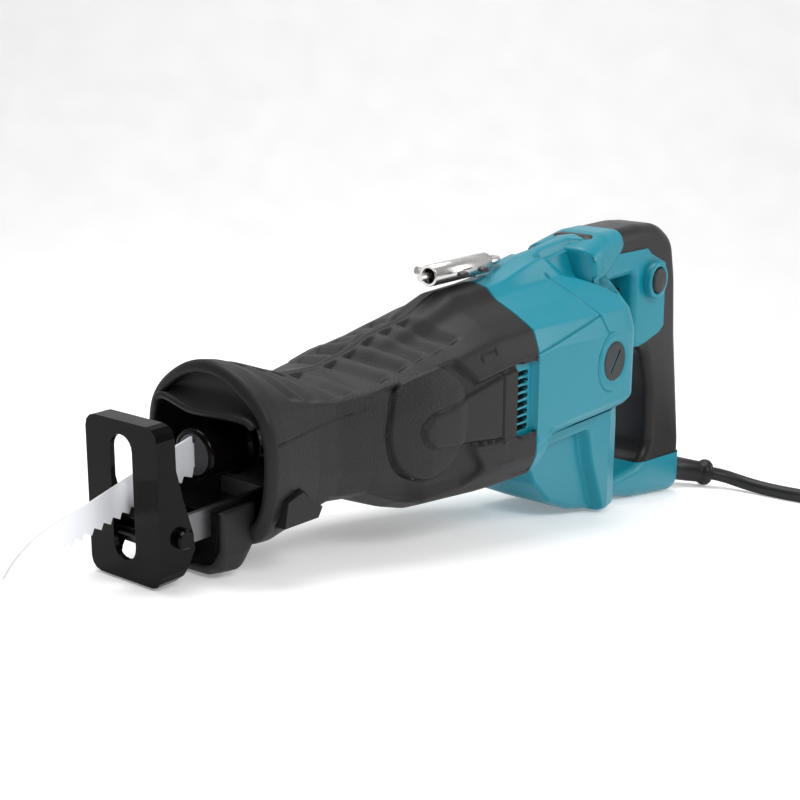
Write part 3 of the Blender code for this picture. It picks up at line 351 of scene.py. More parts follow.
def outward(ring):
    """Unit normals of a closed 2D ring, to its left when it runs clockwise."""
    ahead = np.roll(ring, -1, axis=0) - np.roll(ring, 1, axis=0)
    ahead /= np.maximum(np.linalg.norm(ahead, axis=1, keepdims=True), 1e-9)
    return np.stack([-ahead[:, 1], ahead[:, 0]], axis=-1)


def area_of(ring):
    """Signed area of a closed ring, positive when it runs anticlockwise."""
    x, z = ring[:, 0], ring[:, 1]
    return 0.5 * np.sum(x * np.roll(z, -1) - np.roll(x, -1) * z)


def pillow(outline, half, radius, spacing=1.2, hole=None, hole_radius=None, squeeze=None, steps=7, flare=0.0):
    """A flat-sided moulding in the XZ plane, half thick each way, with its edges rounded off."""
    bm = bmesh.new()
    loops = [(outline, radius, 1.0)]
    if hole is not None:
        loops.append((hole, hole_radius or radius, -1.0))
    rims = {-1: [], 1: []}
    for shape, edge, sense in loops:
        ring = resample(shape, spacing)
        if area_of(ring) > 0:
            ring = ring[::-1]
        normal = outward(ring)
        layers = []
        angles = [pi / 2 * k / steps for k in range(steps + 1)]
        for angle in angles[::-1]:
            layers.append((-(half - edge + edge * sin(angle)), edge * (1 - cos(angle))))
        for angle in angles:
            layers.append((half - edge + edge * sin(angle), edge * (1 - cos(angle))))
        made = []
        for y, inset in layers:
            shifted = ring - normal * (inset - flare) * sense
            made.append([bm.verts.new((x * MM, y * MM, z * MM)) for x, z in shifted])
        for low, high in zip(made, made[1:]):
            for k in range(len(low)):
                j = (k + 1) % len(low)
                quad = (low[k], low[j], high[j], high[k])
                bm.faces.new(quad if sense > 0 else quad[::-1])
        rims[-1].append(made[0])
        rims[1].append(made[-1])
    edges = []
    partner = {}
    for near, far in zip(rims[1], rims[-1]):
        edges += [bm.edges.get((near[k], near[(k + 1) % len(near)])) for k in range(len(near))]
        partner.update(zip(near, far))
    filled = bmesh.ops.triangle_fill(bm, use_beauty=True, edges=edges, normal=(0, 1, 0))["geom"]
    for face in [item for item in filled if isinstance(item, bmesh.types.BMFace)]:
        bm.faces.new([partner[v] for v in reversed(face.verts)])
    bmesh.ops.recalc_face_normals(bm, faces=bm.faces)
    if squeeze:
        for v in bm.verts:
            v.co.y *= squeeze(v.co.x / MM, v.co.z / MM)
    return from_bmesh(bm)


def turned_mesh(profile, axis, place, count=64):
    """A closed turned shape from (radius, along) points in mm, about an axis through a place."""
    turn = {"X": Matrix.Rotation(pi / 2, 4, "Y"), "Y": Matrix.Rotation(-pi / 2, 4, "X"), "Z": Matrix()}[axis]
    bm = bmesh.new()
    rings = []
    for radius, along in profile:
        if radius < 1e-6:
            rings.append([bm.verts.new((0, 0, along * MM))])
            continue
        angles = [2 * pi * k / count for k in range(count)]
        rings.append([bm.verts.new((radius * MM * cos(a), radius * MM * sin(a), along * MM)) for a in angles])
    for low, high in zip(rings, rings[1:]):
        if len(low) == len(high) == 1:
            continue
        for k in range(count):
            j = (k + 1) % count
            corners = [low[k % len(low)], low[j % len(low)], high[j % len(high)], high[k % len(high)]]
            bm.faces.new(list(dict.fromkeys(corners)))
    bmesh.ops.recalc_face_normals(bm, faces=bm.faces)
    bmesh.ops.transform(bm, verts=bm.verts, matrix=Matrix.Translation(Vector(place) * MM) @ turn)
    return from_bmesh(bm)


def tube_mesh(points, radius, sides=20, radii=None):
    """A tube along points in metres, with flat ends."""
    points = [Vector(p) for p in points]
    bm = bmesh.new()
    rings = []
    side = None
    for i, point in enumerate(points):
        ahead = (points[min(i + 1, len(points) - 1)] - points[max(i - 1, 0)]).normalized()
        if side is None:
            side = ahead.orthogonal().normalized()
        side = (side - ahead * side.dot(ahead)).normalized()
        other = ahead.cross(side)
        r = radius * (radii[i] if radii else 1.0)
        angles = [2 * pi * k / sides for k in range(sides)]
        rings.append([bm.verts.new(point + (side * cos(a) + other * sin(a)) * r) for a in angles])
    for low, high in zip(rings, rings[1:]):
        for k in range(sides):
            j = (k + 1) % sides
            bm.faces.new((low[k], low[j], high[j], high[k]))
    bm.faces.new(rings[0][::-1])
    bm.faces.new(rings[-1])
    bmesh.ops.recalc_face_normals(bm, faces=bm.faces)
    return from_bmesh(bm)


def smooth_route(points, spacing):
    """Evenly spaced points on a smooth curve through the given ones."""
    dense = []
    ends = [Vector(points[0]) * 2 - Vector(points[1])] + [Vector(p) for p in points]
    ends.append(Vector(points[-1]) * 2 - Vector(points[-2]))
    for a, b, c, d in zip(ends, ends[1:], ends[2:], ends[3:]):
        dense += interpolate_bezier(b, b + (c - a) / 6, c - (d - b) / 6, c, 24)[:-1]
    dense.append(Vector(points[-1]))
    route, left = [dense[0]], spacing
    for a, b in zip(dense, dense[1:]):
        length = (b - a).length
        while left <= length:
            route.append(a.lerp(b, left / length))
            left += spacing
        left -= length
    if (route[-1] - dense[-1]).length < spacing / 2:
        route.pop()
    return route + [dense[-1]]


def bevelled(ob, width):
    """Breaks a carried-over piece's sharp edges with a modifier."""
    edge = ob.modifiers.new("edge", "BEVEL")
    edge.width = width * MM
    edge.segments = 3
    edge.limit_method = "ANGLE"
    edge.angle_limit = radians(30)
    edge.harden_normals = False
    ob.data.shade_smooth()
    ob.data.set_sharp_from_angle(angle=radians(32))


# ---------------------------------------------------------------- mains lead
GUARD_ROUTE = [(0.2628, 0.0, 0.0122), (0.2700, -0.0002, 0.0130), (0.2800, -0.0020, 0.0126),
               (0.2900, -0.0060, 0.0112), (0.3000, -0.0125, 0.0101), (0.3080, -0.0200, 0.0096)]
LEAD_ROUTE = [(0.3086, -0.0206, 0.0095), (0.3145, -0.0280, 0.0084), (0.3185, -0.0390, 0.0064),
              (0.3205, -0.0520, 0.0050), (0.3222, -0.0680, 0.0046), (0.3262, -0.0850, 0.0046),
              (0.3340, -0.1020, 0.0046), (0.3450, -0.1180, 0.0046), (0.3590, -0.1330, 0.0046),
              (0.3755, -0.1468, 0.0046)]
COIL_CENTRE = (0.428, -0.0975)
CORD_RADIUS = 0.0045


def coil_route():
    """Three turns on the surface, two resting on them, two more on those, then up to the plug on top."""
    x, y = COIL_CENTRE
    low, middle, high = 0.0062, 0.0154, 0.0246
    turns = [(0.0587, low), (0.0495, low), (0.0400, low), (0.04475, middle), (0.05425, middle),
             (0.0495, high), (0.0400, high)]
    entry = {4: 0.0048, 5: 0.0018, 6: 0.0003}
    route, per_turn = [], 24
    for k in range(4, 161):
        turn, part = divmod(k, per_turn)
        radius, height = turns[turn]
        if turn + 1 < len(turns):
            share = float(ramp(np.array(part), per_turn / 2, per_turn))
            radius += (turns[turn + 1][0] - radius) * share
            height += (turns[turn + 1][1] - height) * share
        extra = entry.get(k, 0.0)
        route.append((360 / per_turn * k + 180, radius + extra, height - 0.28 * extra))
    route = [(x + r * cos(radians(angle)), y + r * sin(radians(angle)), height) for angle, r, height in route]
    top, climb, rise, steps = 2580, 218, 0.0228, 15
    for step in range(1, steps):
        angle = top + climb * step / steps
        shift = float(ramp(np.array(angle), 2600, 2745))
        r = 0.0400 + 0.0020 * shift
        route.append((x - 0.0078 * shift + r * cos(radians(angle)),
                      y - 0.0034 * shift + r * sin(radians(angle)),
                      high + rise * float(ramp(np.array(step), 0, steps))))
    return route


def plug_place():
    """The plug lies on the coil, where the end of the lead comes round to it."""
    x, y = COIL_CENTRE
    return Matrix.Translation((x - 0.0020, y - 0.0450, 0.0474)) @ Matrix.Rotation(radians(8), 4, "Z")


def make_plug(mats):
    """A round two-pin plug with a ribbed body and a tapered neck."""
    body = [(0, 48.0), (14.6, 48.0), (15.4, 47.6), (17.6, 44.6), (18.0, 43.6), (18.0, 33.5),
            (17.2, 31.4), (12.6, 21.2), (11.6, 20.0), (11.4, 18.6), (12.0, 18.2), (12.0, 16.6),
            (10.4, 16.2), (10.2, 14.6), (10.9, 14.2), (10.9, 12.6), (9.3, 12.2), (9.0, 10.6),
            (9.6, 10.2), (9.6, 8.6), (8.0, 8.2), (7.2, 4.0), (6.2, 0.0), (0, 0.0)]
    mesh = turned_mesh(body, "X", (0, 0, 0), 48)
    mesh.transform(plug_place())
    plug = new_object("mains_plug", mesh, mats, "rubber", ("plug",), in_saw=False)
    pins = []
    for side, name in ((-1, "left"), (1, "right")):
        pin = [(0, 67.0), (1.6, 67.0), (2.4, 66.0), (2.4, 48.1), (0, 48.1)]
        mesh = turned_mesh(pin, "X", (0, side * 9.5, 0), 24)
        mesh.transform(plug_place())
        pins.append(new_object(f"plug_pin_{name}", mesh, mats, "bright_steel", in_saw=False))
    return [plug, *pins]


def make_tie(mats):
    """A narrow strap round the coil, standing a little off the turns."""
    x, y = COIL_CENTRE
    outline = rounded([(34.1, 0.2, 4.5), (65.3, 0.2, 4.5), (65.3, 30.6, 4.5), (34.1, 30.6, 4.5)])
    hole = rounded([(35.2, 1.3, 3.6), (64.2, 1.3, 3.6), (64.2, 29.5, 3.6), (35.2, 29.5, 3.6)])
    mesh = pillow(outline, 3.5, 0.5, 0.8, hole, 0.5, steps=3)
    mesh.transform(Matrix.Translation((x, y, 0)) @ Matrix.Rotation(radians(45), 4, "Z"))
    return new_object("cord_tie", mesh, mats, "rubber", ("coil_tie",), in_saw=False)


def make_lead(mats):
    """The tapered strain relief and its collar, the lead along the surface, its seven turns, and the plug."""
    points = smooth_route(GUARD_ROUTE, 0.0010)
    last = len(points) - 1
    radii = []
    for k in range(last + 1):
        share = k / last
        radii.append(1.0 - 0.20 * min(share / 0.86, 1.0))
        if share > 0.86:
            radii[-1] += 0.19 * sqrt(max(0.0, sin(pi * (share - 0.86) / 0.14)))
    new_object("strain_relief", tube_mesh(points, 0.0090, 40, radii), mats, "rubber",
               ("cord_guard",), in_saw=False, sharp=50)
    neck = plug_place() @ Vector((-0.0004, 0, 0))
    route = smooth_route(LEAD_ROUTE + coil_route() + [neck], 0.0060)
    curve = bpy.data.curves.new("mains_lead", "CURVE")
    curve.dimensions = "3D"
    curve.bevel_depth = CORD_RADIUS
    curve.bevel_resolution = 4
    curve.use_fill_caps = True
    spline = curve.splines.new("POLY")
    spline.points.add(len(route) - 1)
    for point, place in zip(spline.points, route):
        point.co = (*place, 1.0)
    curve.materials.append(mats["cord"])
    lead = bpy.data.objects.new("mains_lead", curve)
    bpy.context.scene.collection.objects.link(lead)
    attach(lead, "saw")
    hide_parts("cord_lead", "cord_coil", "cord_tail")
    make_plug(mats)
    make_tie(mats)


# ---------------------------------------------------------------- body sections, in mm
# x, top, crown, drop, half width, shoulder, side's low edge, bottom
BOOT = [
    (47.0, 37.5, 10, 3.5, 38.0, 20.0, -14.0, -40.5), (50.0, 39.5, 10, 3.5, 40.0, 21.0, -14.5, -46.0),
    (58.0, 38.0, 10, 3.5, 39.5, 21.0, -15.0, -47.0), (70.0, 33.5, 9, 3.5, 37.5, 19.0, -17.0, -45.2),
    (83.0, 28.0, 8, 3.0, 35.0, 16.0, -19.0, -41.5), (98.0, 22.5, 8, 3.0, 34.5, 13.0, -20.0, -39.0),
    (120.0, 21.5, 8, 3.0, 36.5, 12.5, -24.0, -42.0), (142.0, 25.0, 8, 3.5, 39.5, 14.5, -33.0, -52.0),
    (158.0, 30.0, 9, 4.5, 41.5, 16.5, -40.0, -57.0), (185.0, 33.5, 9, 6.0, 43.0, 19.0, -44.0, -59.5),
    (200.0, 38.5, 10, 7.0, 43.7, 21.0, -45.0, -61.0), (215.0, 43.0, 10, 7.5, 44.3, 22.5, -45.0, -62.0),
    (246.0, 44.0, 10, 7.5, 45.0, 23.0, -45.0, -63.0)]
HOUSING = [
    (212.0, 37.4, 8, 7.0, 40.5, 18.0, -44.0, -58.4), (246.0, 40.2, 8, 7.5, 41.3, 19.0, -44.0, -59.4),
    (246.4, 43.8, 10, 7.5, 44.9, 23.0, -45.0, -63.0), (256.0, 44.5, 10, 7.5, 45.0, 23.0, -44.0, -60.0),
    (262.0, 45.5, 10, 8.0, 45.0, 22.8, -34.0, -46.5), (290.0, 51.5, 10, 12.5, 45.0, 21.5, -33.0, -45.5),
    (312.0, 54.5, 10, 15.0, 45.0, 20.0, -33.0, -45.5), (338.0, 57.0, 10, 16.0, 44.5, 19.0, -33.0, -45.5),
    (346.0, 57.3, 10, 16.0, 43.8, 19.0, -33.0, -45.5), (357.0, 57.6, 10, 16.0, 42.0, 18.0, -32.0, -45.0)]


def sections(table, xs):
    """Section values at each x, between the table's rows."""
    table = np.asarray(table, float)
    return np.stack([np.interp(xs, table[:, 0], table[:, k]) for k in range(1, 8)], axis=-1)


def body_rings(values, round_by=2.2, spacing=0.9):
    """Closed (y, z) rings for rows of section values: a narrow crown, slanted facets and upright sides."""
    top, crown, drop, half, shoulder, low, bottom = values.T
    zero = np.zeros_like(top)
    right = [(zero, top), (crown, top - 1.8), (crown + 5.5, top - drop),
             (0.63 * half, shoulder + 0.55 * (top - drop - shoulder)), (0.91 * half, shoulder),
             (half, shoulder - 12.0), (half, low), (0.89 * half, bottom + 7.0), (0.55 * half, bottom + 1.2),
             (zero, bottom)]
    corners = np.stack([np.stack(p, axis=-1) for p in right], axis=1)
    mirror = corners[:, ::-1] * np.array([-1.0, 1.0])
    loop = np.concatenate([corners, mirror[:, 1:-1], corners[:, :1]], axis=1)
    typical = loop[len(loop) // 2]
    counts = [max(3, int(hypot(*(b - a)) / spacing)) for a, b in zip(typical, typical[1:])]
    parts = [loop[:, i, None] + (loop[:, i + 1] - loop[:, i])[:, None] * (np.arange(n) / n)[None, :, None]
             for i, n in enumerate(counts)]
    rings = np.concatenate(parts, axis=1)
    return smooth(rings, round_by / spacing, axis=1, wrap=True)


def ring_normals(rings):
    ahead = np.roll(rings, -1, axis=1) - np.roll(rings, 1, axis=1)
    ahead /= np.maximum(np.linalg.norm(ahead, axis=2, keepdims=True), 1e-9)
    return np.stack([-ahead[..., 1], ahead[..., 0]], axis=-1)


def body_grid(table, xs, insets, relief=None, round_by=2.2, spacing=0.9, soften=2.0, nose=False):
    """Points of a shell that follows the sections at each x, moved in by the insets and out by the relief."""
    xs, insets = np.asarray(xs, float), np.asarray(insets, float)
    order = np.linspace(min(xs), max(xs), 400)
    values = smooth(sections(table, order), soften, axis=0)
    values = np.stack([np.interp(xs, order, values[:, k]) for k in range(values.shape[1])], axis=-1)
    rings = body_rings(values, round_by, spacing)
    if nose:
        soft = smooth(rings, 7.5 / spacing, axis=1, wrap=True)
        share = ramp(-xs, -96.0, -56.0)[:, None, None]
        rings = rings * (1 - share) + soft * share
    normal = ring_normals(rings)
    grid = np.concatenate([np.repeat(xs[:, None, None], rings.shape[1], axis=1),
                           rings - normal * insets[:, None, None]], axis=2)
    if relief:
        grid[..., 1:] += normal * relief(grid, normal)[..., None]
    return grid


# ---------------------------------------------------------------- rubber boot
BULGE = (158.0, -8.0, 28.0)
TONGUE = [(151, -9), (153, -16), (159, -20.5), (216.5, -29), (216.5, 4.2), (170, -3.5), (157, -4.5)]
STRAP = [(216.5, -31), (229.5, -31), (229.5, 5.5), (216.5, 4.5)]
SUNK = [(168, 24), (176.8, 22), (195, 4.5), (232, 8.6), (232, -31.5), (216, -29.8), (190.5, -27.5),
        (200, -41.6), (184, -46), (120, -46), (110, 30)]
UPPER_LUG = [(176.8, 22), (195, 4.5), (247, 9.6), (247, 28.5), (207, 27)]
LOWER_LUG = [(190.5, -27.5), (216, -29.8), (247, -32.2), (247, -52.5), (230, -52.4), (200, -41.6)]
LOCK = [(54.4, -34.0), (56.8, -21.2), (66.1, -18.6), (79.4, -28.7), (76.0, -34.5)]
BAND = [(44, 18.8), (162, 23.7), (170, 10), (150, -40), (128, -38), (96, -36), (80, -31), (70, -16), (44, -8)]


def boot_relief(grid, normal):
    """Everything that stands up from the boot or is pressed into it, in mm along the surface's normal."""
    x, y, z = np.moveaxis(grid, 2, 0)
    side = ramp(np.abs(normal[..., 0]), 0.55, 0.8)
    over = ramp(normal[..., 1], 0.15, 0.35)
    span = np.abs(y)
    bulge_x, bulge_z, bulge_r = BULGE
    away = np.hypot(x - bulge_x, z - bulge_z)
    disc = 1.0 - ramp(away, bulge_r - 0.8, bulge_r + 0.8)
    lift = -3.2 * side * inside(x, z, SUNK, 1.3) * ramp(x, 120, 150) * (1 - disc)
    dome = 1 - (np.minimum(away, bulge_r) / bulge_r) ** 2
    lift += side * disc * (1.0 + 0.8 * dome) * (1 - ramp(x, 176, 186))
    lift -= 1.3 * side * np.exp(-((away - bulge_r - 0.4) / 0.8) ** 2) * (1 - ramp(x, 168, 178))
    lift += 2.6 * side * inside(x, z, TONGUE, 0.9) * (1 - 0.5 * disc)
    lift -= 0.9 * side * np.exp(-((edge_distance(x, z, TONGUE) - 1.0) / 0.9) ** 2) * disc
    lift += 2.5 * side * inside(x, z, STRAP, 0.8)
    lift -= 1.2 * side * line_groove(x, z, [(216.5, -30), (216.5, 4.4)], 0.7)
    lift -= 0.7 * side * np.exp(-(edge_distance(x, z, UPPER_LUG) / 1.0) ** 2)
    lift -= 0.7 * side * np.exp(-(edge_distance(x, z, LOWER_LUG) / 1.0) ** 2)
    slot = [(199.5, 15.2), (199.5, 18.2), (211, 19.0), (211, 17.0)]
    lift -= 0.9 * line_groove(x, z, slot, 0.6) * (span > 30)
    lift += 0.4 * side * line_groove(x, z, [(214, -42.5), (227, -43.2)], 0.9)
    lift -= 0.9 * side * line_groove(x, z, [(51.6, 5.9), (115.9, 7.0)], 0.55)
    lift -= 5.0 * (y < -28) * inside(x, z, LOCK, 0.4)
    lift += finger_grooves(x, y, over)
    lift -= 0.7 * over * np.exp(-(y / 0.5) ** 2) * ramp(x, 62, 66)
    lift += 0.5 * over * np.exp(-((span - 1.6) / 0.7) ** 2) * ramp(x, 62, 66)
    return lift * (1 - ramp(x, 243.5, 245.0))


def finger_grooves(x, y, over):
    """Two sets of overlapping ribs across the top, swept back from the middle line."""
    span = np.abs(y)
    along = x - 0.40 * span
    ribs = np.zeros_like(x)
    for start, pitch, count in ((58.0, 13.0, 4), (121.0, 14.0, 5)):
        phase = (along - start) / pitch
        tooth = phase - np.floor(phase)
        shape = ramp(tooth, 0.0, 0.09) * (1 - ramp(tooth, 0.09, 0.9))
        within = ramp(phase, 0.0, 0.02) * (1 - ramp(phase, count - 0.02, count))
        ribs -= 2.9 * shape * within
    return ribs * over * ramp(span, 3.0, 4.0) * (1 - ramp(span, 27.0, 30.0))


def grain_mask(grid):
    """Where the boot is grained: strongly in a band along its sides, lightly elsewhere."""
    x, y, z = np.moveaxis(grid, 2, 0)
    wide = np.abs(y) > 28
    return (0.25 + 0.75 * inside(x, z, BAND, 1.0)) * wide + 0.25 * ~wide


def add_mask(mesh, values):
    layer = mesh.attributes.new("grain", "FLOAT", "POINT")
    layer.data.foreach_set("value", np.asarray(values, np.float32).ravel())


def make_boot(mats):
    """The boot from its rear edge over the rolled rim and a little way back inside."""
    rim, front, inner = 2.6, 49.8, 4.2
    roll = np.linspace(0, pi, 9)
    long, short = 400, 30
    out_x = np.concatenate([[245.6, 245.9], np.linspace(245.6, front + 0.6, long)])
    xs = np.concatenate([out_x, front - rim * np.sin(roll), np.linspace(front + 0.5, 86, short)])
    insets = np.concatenate([[2.6, 0.5], np.zeros(long), rim * (1 - np.cos(roll)),
                             np.linspace(2 * rim, inner, short)])
    outer = len(out_x)
    grid = body_grid(BOOT, np.clip(xs, 47.0, 246.0), insets, round_by=1.8, spacing=0.6, nose=True)
    grid[..., 0] = xs[:, None]
    normal = ring_normals(grid[:outer, :, 1:])
    lift = smooth(smooth(boot_relief(grid[:outer], normal), 0.55, axis=0), 0.55, axis=1, wrap=True)
    grid[:outer, :, 1:] += normal * lift[..., None]
    mask = np.zeros(grid.shape[:2])
    mask[:outer] = grain_mask(grid[:outer])
    mask[outer:] = 0.25
    mesh = grid_mesh(grid, flip=True)
    add_mask(mesh, mask)
    remove_windows(mesh)
    new_object("nose_boot", mesh, mats, "boot", ("front_boot",), sharp=60)


def remove_windows(mesh):
    """Opens the boot's sides behind the strap, where the housing's vents are."""
    bm = bmesh.new()
    bm.from_mesh(mesh)
    middles = [(face, face.calc_center_median() / MM) for face in bm.faces]
    hidden = [face for face, m in middles if m.x > 229.8 and abs(m.y) > 30 and -31.5 < m.z < 7.4]
    bmesh.ops.delete(bm, geom=hidden, context="FACES")
    bm.to_mesh(mesh)
    bm.free()


# ---------------------------------------------------------------- nose
def swept(sections_3d):
    """A closed body through rings of points in mm, one after another, with flat ends."""
    rows = np.asarray(sections_3d)
    mesh = grid_mesh(rows)
    bm = bmesh.new()
    bm.from_mesh(mesh)
    bm.verts.ensure_lookup_table()
    around = rows.shape[1]
    bm.faces.new([bm.verts[k] for k in range(around)])
    bm.faces.new([bm.verts[len(bm.verts) - around + k] for k in range(around)])
    bmesh.ops.recalc_face_normals(bm, faces=bm.faces)
    return from_bmesh(bm)


def spread(points, count):
    """Evenly spaced points along an open line, smoothed a little."""
    points = np.asarray(points, float)
    steps = np.concatenate([[0], np.cumsum(np.linalg.norm(np.diff(points, axis=0), axis=1))])
    at = np.linspace(0, steps[-1], count)
    line = np.stack([np.interp(at, steps, points[:, k]) for k in range(points.shape[1])], axis=-1)
    return smooth(line, count / 30)


def make_visor(mats):
    """The hollowed panel over the clamp, from the nose's rim down to its rolled lip."""
    count, deep = 90, 26
    arc = spread([(-31.5, 13.0), (-30.5, 19.0), (-26.0, 25.5), (-19.0, 31.0), (-9.5, 35.2), (4.0, 35.0),
                  (14.5, 32.0), (25.0, 25.0), (30.5, 18.5), (31.5, 13.0)], count)
    lip = spread([(-31.0, 12.6), (-27.5, 15.6), (-16.0, 15.8), (-4.0, 15.0), (8.0, 14.6), (18.0, 17.2),
                  (25.0, 19.0), (30.0, 17.4), (31.0, 12.6)], count)
    across = np.linspace(-1, 1, count)
    front, back = [], []
    for k in range(deep + 1):
        v = k / deep
        x = 48.6 + 4.6 * np.sin(pi * v) ** 0.8 * (1 - across ** 4) - 4.0 * v ** 3
        yz = arc * (1 - v) + lip * v
        front.append(np.column_stack([x, yz]))
        back.append(np.column_stack([x + 2.4, yz]))
    rows = np.stack(front + back[::-1], axis=0)
    mesh = swept(np.swapaxes(rows, 0, 1))
    new_object("nose_visor", mesh, mats, "boot", sharp=60)
    bead = [(45.6, *p) for p in lip]
    tube = tube_mesh([Vector(p) * MM for p in bead], 1.7 * MM, 16)
    new_object("nose_visor_lip", tube, mats, "boot", sharp=60)


def make_chin(mats):
    """The pouch below the nose that the saw stands on, open at its front."""
    outer = [(-25, -23), (-25, -44), (-20, -54), (-12, -57.5), (0, -58), (12, -57.5), (20, -54), (25, -44),
             (25, -23)]
    inner = [(21.4, -23), (21.4, -43.5), (17, -51.0), (11, -53.6), (0, -54), (-11, -53.6), (-17, -51.0),
             (-21.4, -43.5), (-21.4, -23)]
    ring = smooth(resample(outer + inner, 0.8), 1.4, axis=0, wrap=True)
    if area_of(ring) > 0:
        ring = ring[::-1]
    normal = outward(ring)
    rows = []
    for x, inset in ([(31.0 + 1.6 * (1 - cos(t)), 1.6 * (1 - sin(t))) for t in np.linspace(0, pi / 2, 7)]
                     + [(x, 0.0) for x in np.arange(33.2, 51.6, 0.6)]):
        bottom = np.interp(x, [31, 34.5, 41, 44.5], [-53.2, -55.8, -57.2, -57.7])
        if x > 44.5:
            bottom += 12.7 * (1 - sqrt(max(0.0, 1 - ((x - 44.5) / 7.1) ** 2)))
        shaped = ring - normal * inset
        z = -23 + (shaped[:, 1] + 23) * (bottom + 23) / -35.0
        rows.append(np.column_stack([np.full(len(ring), x), shaped[:, 0], z]))
    new_object("nose_chin", swept(rows), mats, "boot", sharp=50)


def make_sleeve(mats):
    """The clamp's sleeve: a smooth drum with a raised collar."""
    drum = [(9.9, 28.0), (12.0, 28.0), (14.6, 27.7), (14.8, 27.3), (14.8, 24.0), (14.4, 23.3), (12.8, 22.0),
            (12.2, 20.6), (12.0, 12.0), (11.9, 3.0), (11.8, 1.2), (11.2, 0.3), (10.6, 0.0), (9.9, 0.0),
            (9.9, 28.0)]
    mesh = turned_mesh(drum, "X", (38.5, 0, SLIDE_Z), 72)
    new_object("clamp_sleeve", mesh, mats, "black_steel", ("blade_clamp_sleeve",), "sleeve")


# ---------------------------------------------------------------- motor housing
VENTS, VENT_PITCH, TOP_VENT, VENT_X = 8, 4.15, 1.5, 235.4
SCOOP = [(297, 7), (306, 4.5), (336, 5), (344, 14), (347, 33), (336, 26), (322, 18), (309, 13)]


def housing_relief(grid, normal):
    """Seams, cooling slots, the ridge along the bottom and the hollow at the rear of the top."""
    x, y, z = np.moveaxis(grid, 2, 0)
    side = ramp(np.abs(normal[..., 0]), 0.55, 0.8)
    away = np.hypot(x - CAP_X, z - MOTOR_Z)
    wide = np.abs(y) > 30
    lift = -1.0 * wide * line_groove(x, z, [(246, 10.6), (313.8, 19.6), (318, 9.5)], 0.5)
    lift -= 0.9 * side * np.exp(-((away - 17.2) / 0.5) ** 2) * ramp(-x, -(CAP_X + 6), -(CAP_X - 2))
    lift -= 0.9 * line_groove(x, z, [(292, 49), (300, 39), (308, 27), (313.8, 19.6)], 0.5) * (np.abs(y) > 14)
    for k in range(VENTS):
        level = TOP_VENT - VENT_PITCH * k
        slot = ramp(-np.abs(x - VENT_X), -6.2, -5.2) * ramp(-np.abs(z - level), -1.5, -0.8)
        lift -= 4.0 * wide * slot
    lift += 0.45 * side * ramp(-np.abs(z + 36.5), -2.8, -2.2) * ramp(x, 247, 248) * (1 - ramp(x, 330, 332))
    lift -= 5.0 * inside(x, np.abs(y), SCOOP, 2.2) * (normal[..., 1] > 0.2)
    return lift


def make_housing(mats):
    body = np.concatenate([np.linspace(212, 245.9, 56), np.linspace(246.4, 344, 210)])
    curl = np.linspace(0, pi / 2, 12)
    xs = np.concatenate([body, 344.5 + 12.5 * np.sin(curl)])
    insets = np.concatenate([np.zeros(len(body)), 12.5 * (1 - np.cos(curl))])
    grid = body_grid(HOUSING, xs, insets, housing_relief, round_by=1.0, spacing=0.5, soften=0.6)
    mesh = swept(grid)
    mesh.materials.append(mats["teal"])
    # second material: the painted shade for the slot floors, given to the faces picked out below
    mesh.materials.append(mats["vent"])
    for face in mesh.polygons:
        x, y, z = face.center / MM
        if 229.0 < x < 241.6 and -30.0 < z < 4.0 and abs(y) < 39.9:
            face.material_index = 1
    new_object("motor_barrel", mesh, mats, "teal", ("motor_housing",), sharp=40)
    for side, name in ((-1, "left"), (1, "right")):
        ring = [(15.6, 43.0), (15.6, 44.6), (15.1, 45.2), (12.4, 45.2), (11.8, 44.9), (11.6, 44.0),
                (11.6, 43.0), (15.6, 43.0)]
        profile = [(r, side * h) for r, h in ring]
        mesh = turned_mesh(profile, "Y", (CAP_X, 0, MOTOR_Z), 72)
        new_object(f"cap_surround_{name}", mesh, mats, "teal")


# ---------------------------------------------------------------- handle, foot and grips
def floor_line(x):
    """Height of the standing surface under the saw, in mm."""
    return -58.0 - (x - 45.0) * sin(PITCH) / cos(PITCH)


DEE = [(339.5, 56.5, 9), (376.0, 57.7, 60), (400.0, 57.8, 50), (423.0, 55.7, 30), (440.0, 45.0, 20),
       (446.0, 20.0, 40), (450.0, -18.0, 80), (462.5, -90.0, 40), (463.0, floor_line(461.0) + 0.8, 9.5),
       (402.0, floor_line(402.0) + 0.8, 14), (380.0, -110.5, 14), (339.5, -100.0, 9)]
GAP_FOR_HAND = [(358.0, 29.0, 4), (390.5, 29.0, 2), (390.5, -16.5, 2), (408.0, -21.0, 12), (418.0, -48.0, 40),
                (420.0, -96.0, 18), (365.0, -98.0, 12), (358.0, -45.0, 20)]
SHOULDER = [(330.0, 52.0, 3), (356.0, 57.9, 20), (376.0, 57.9, 6), (381.0, 49.0, 6), (376.0, 42.0, 5),
            (356.0, 32.0, 8), (330.0, 26.0, 3)]
PATCH = [(349.0, 44.5), (404.0, 43.0), (409.0, 39.0), (427.5, 31.0), (428.5, -8.5), (424.0, -12.0),
         (397.0, -18.0), (387.0, -17.5), (349.0, -17.0)]
BASE = [(330, -92.0), (365, -93.0), (420, -95.8), (475, -100.5), (475, -140), (330, -140)]
GRIP_HALF = 17.6


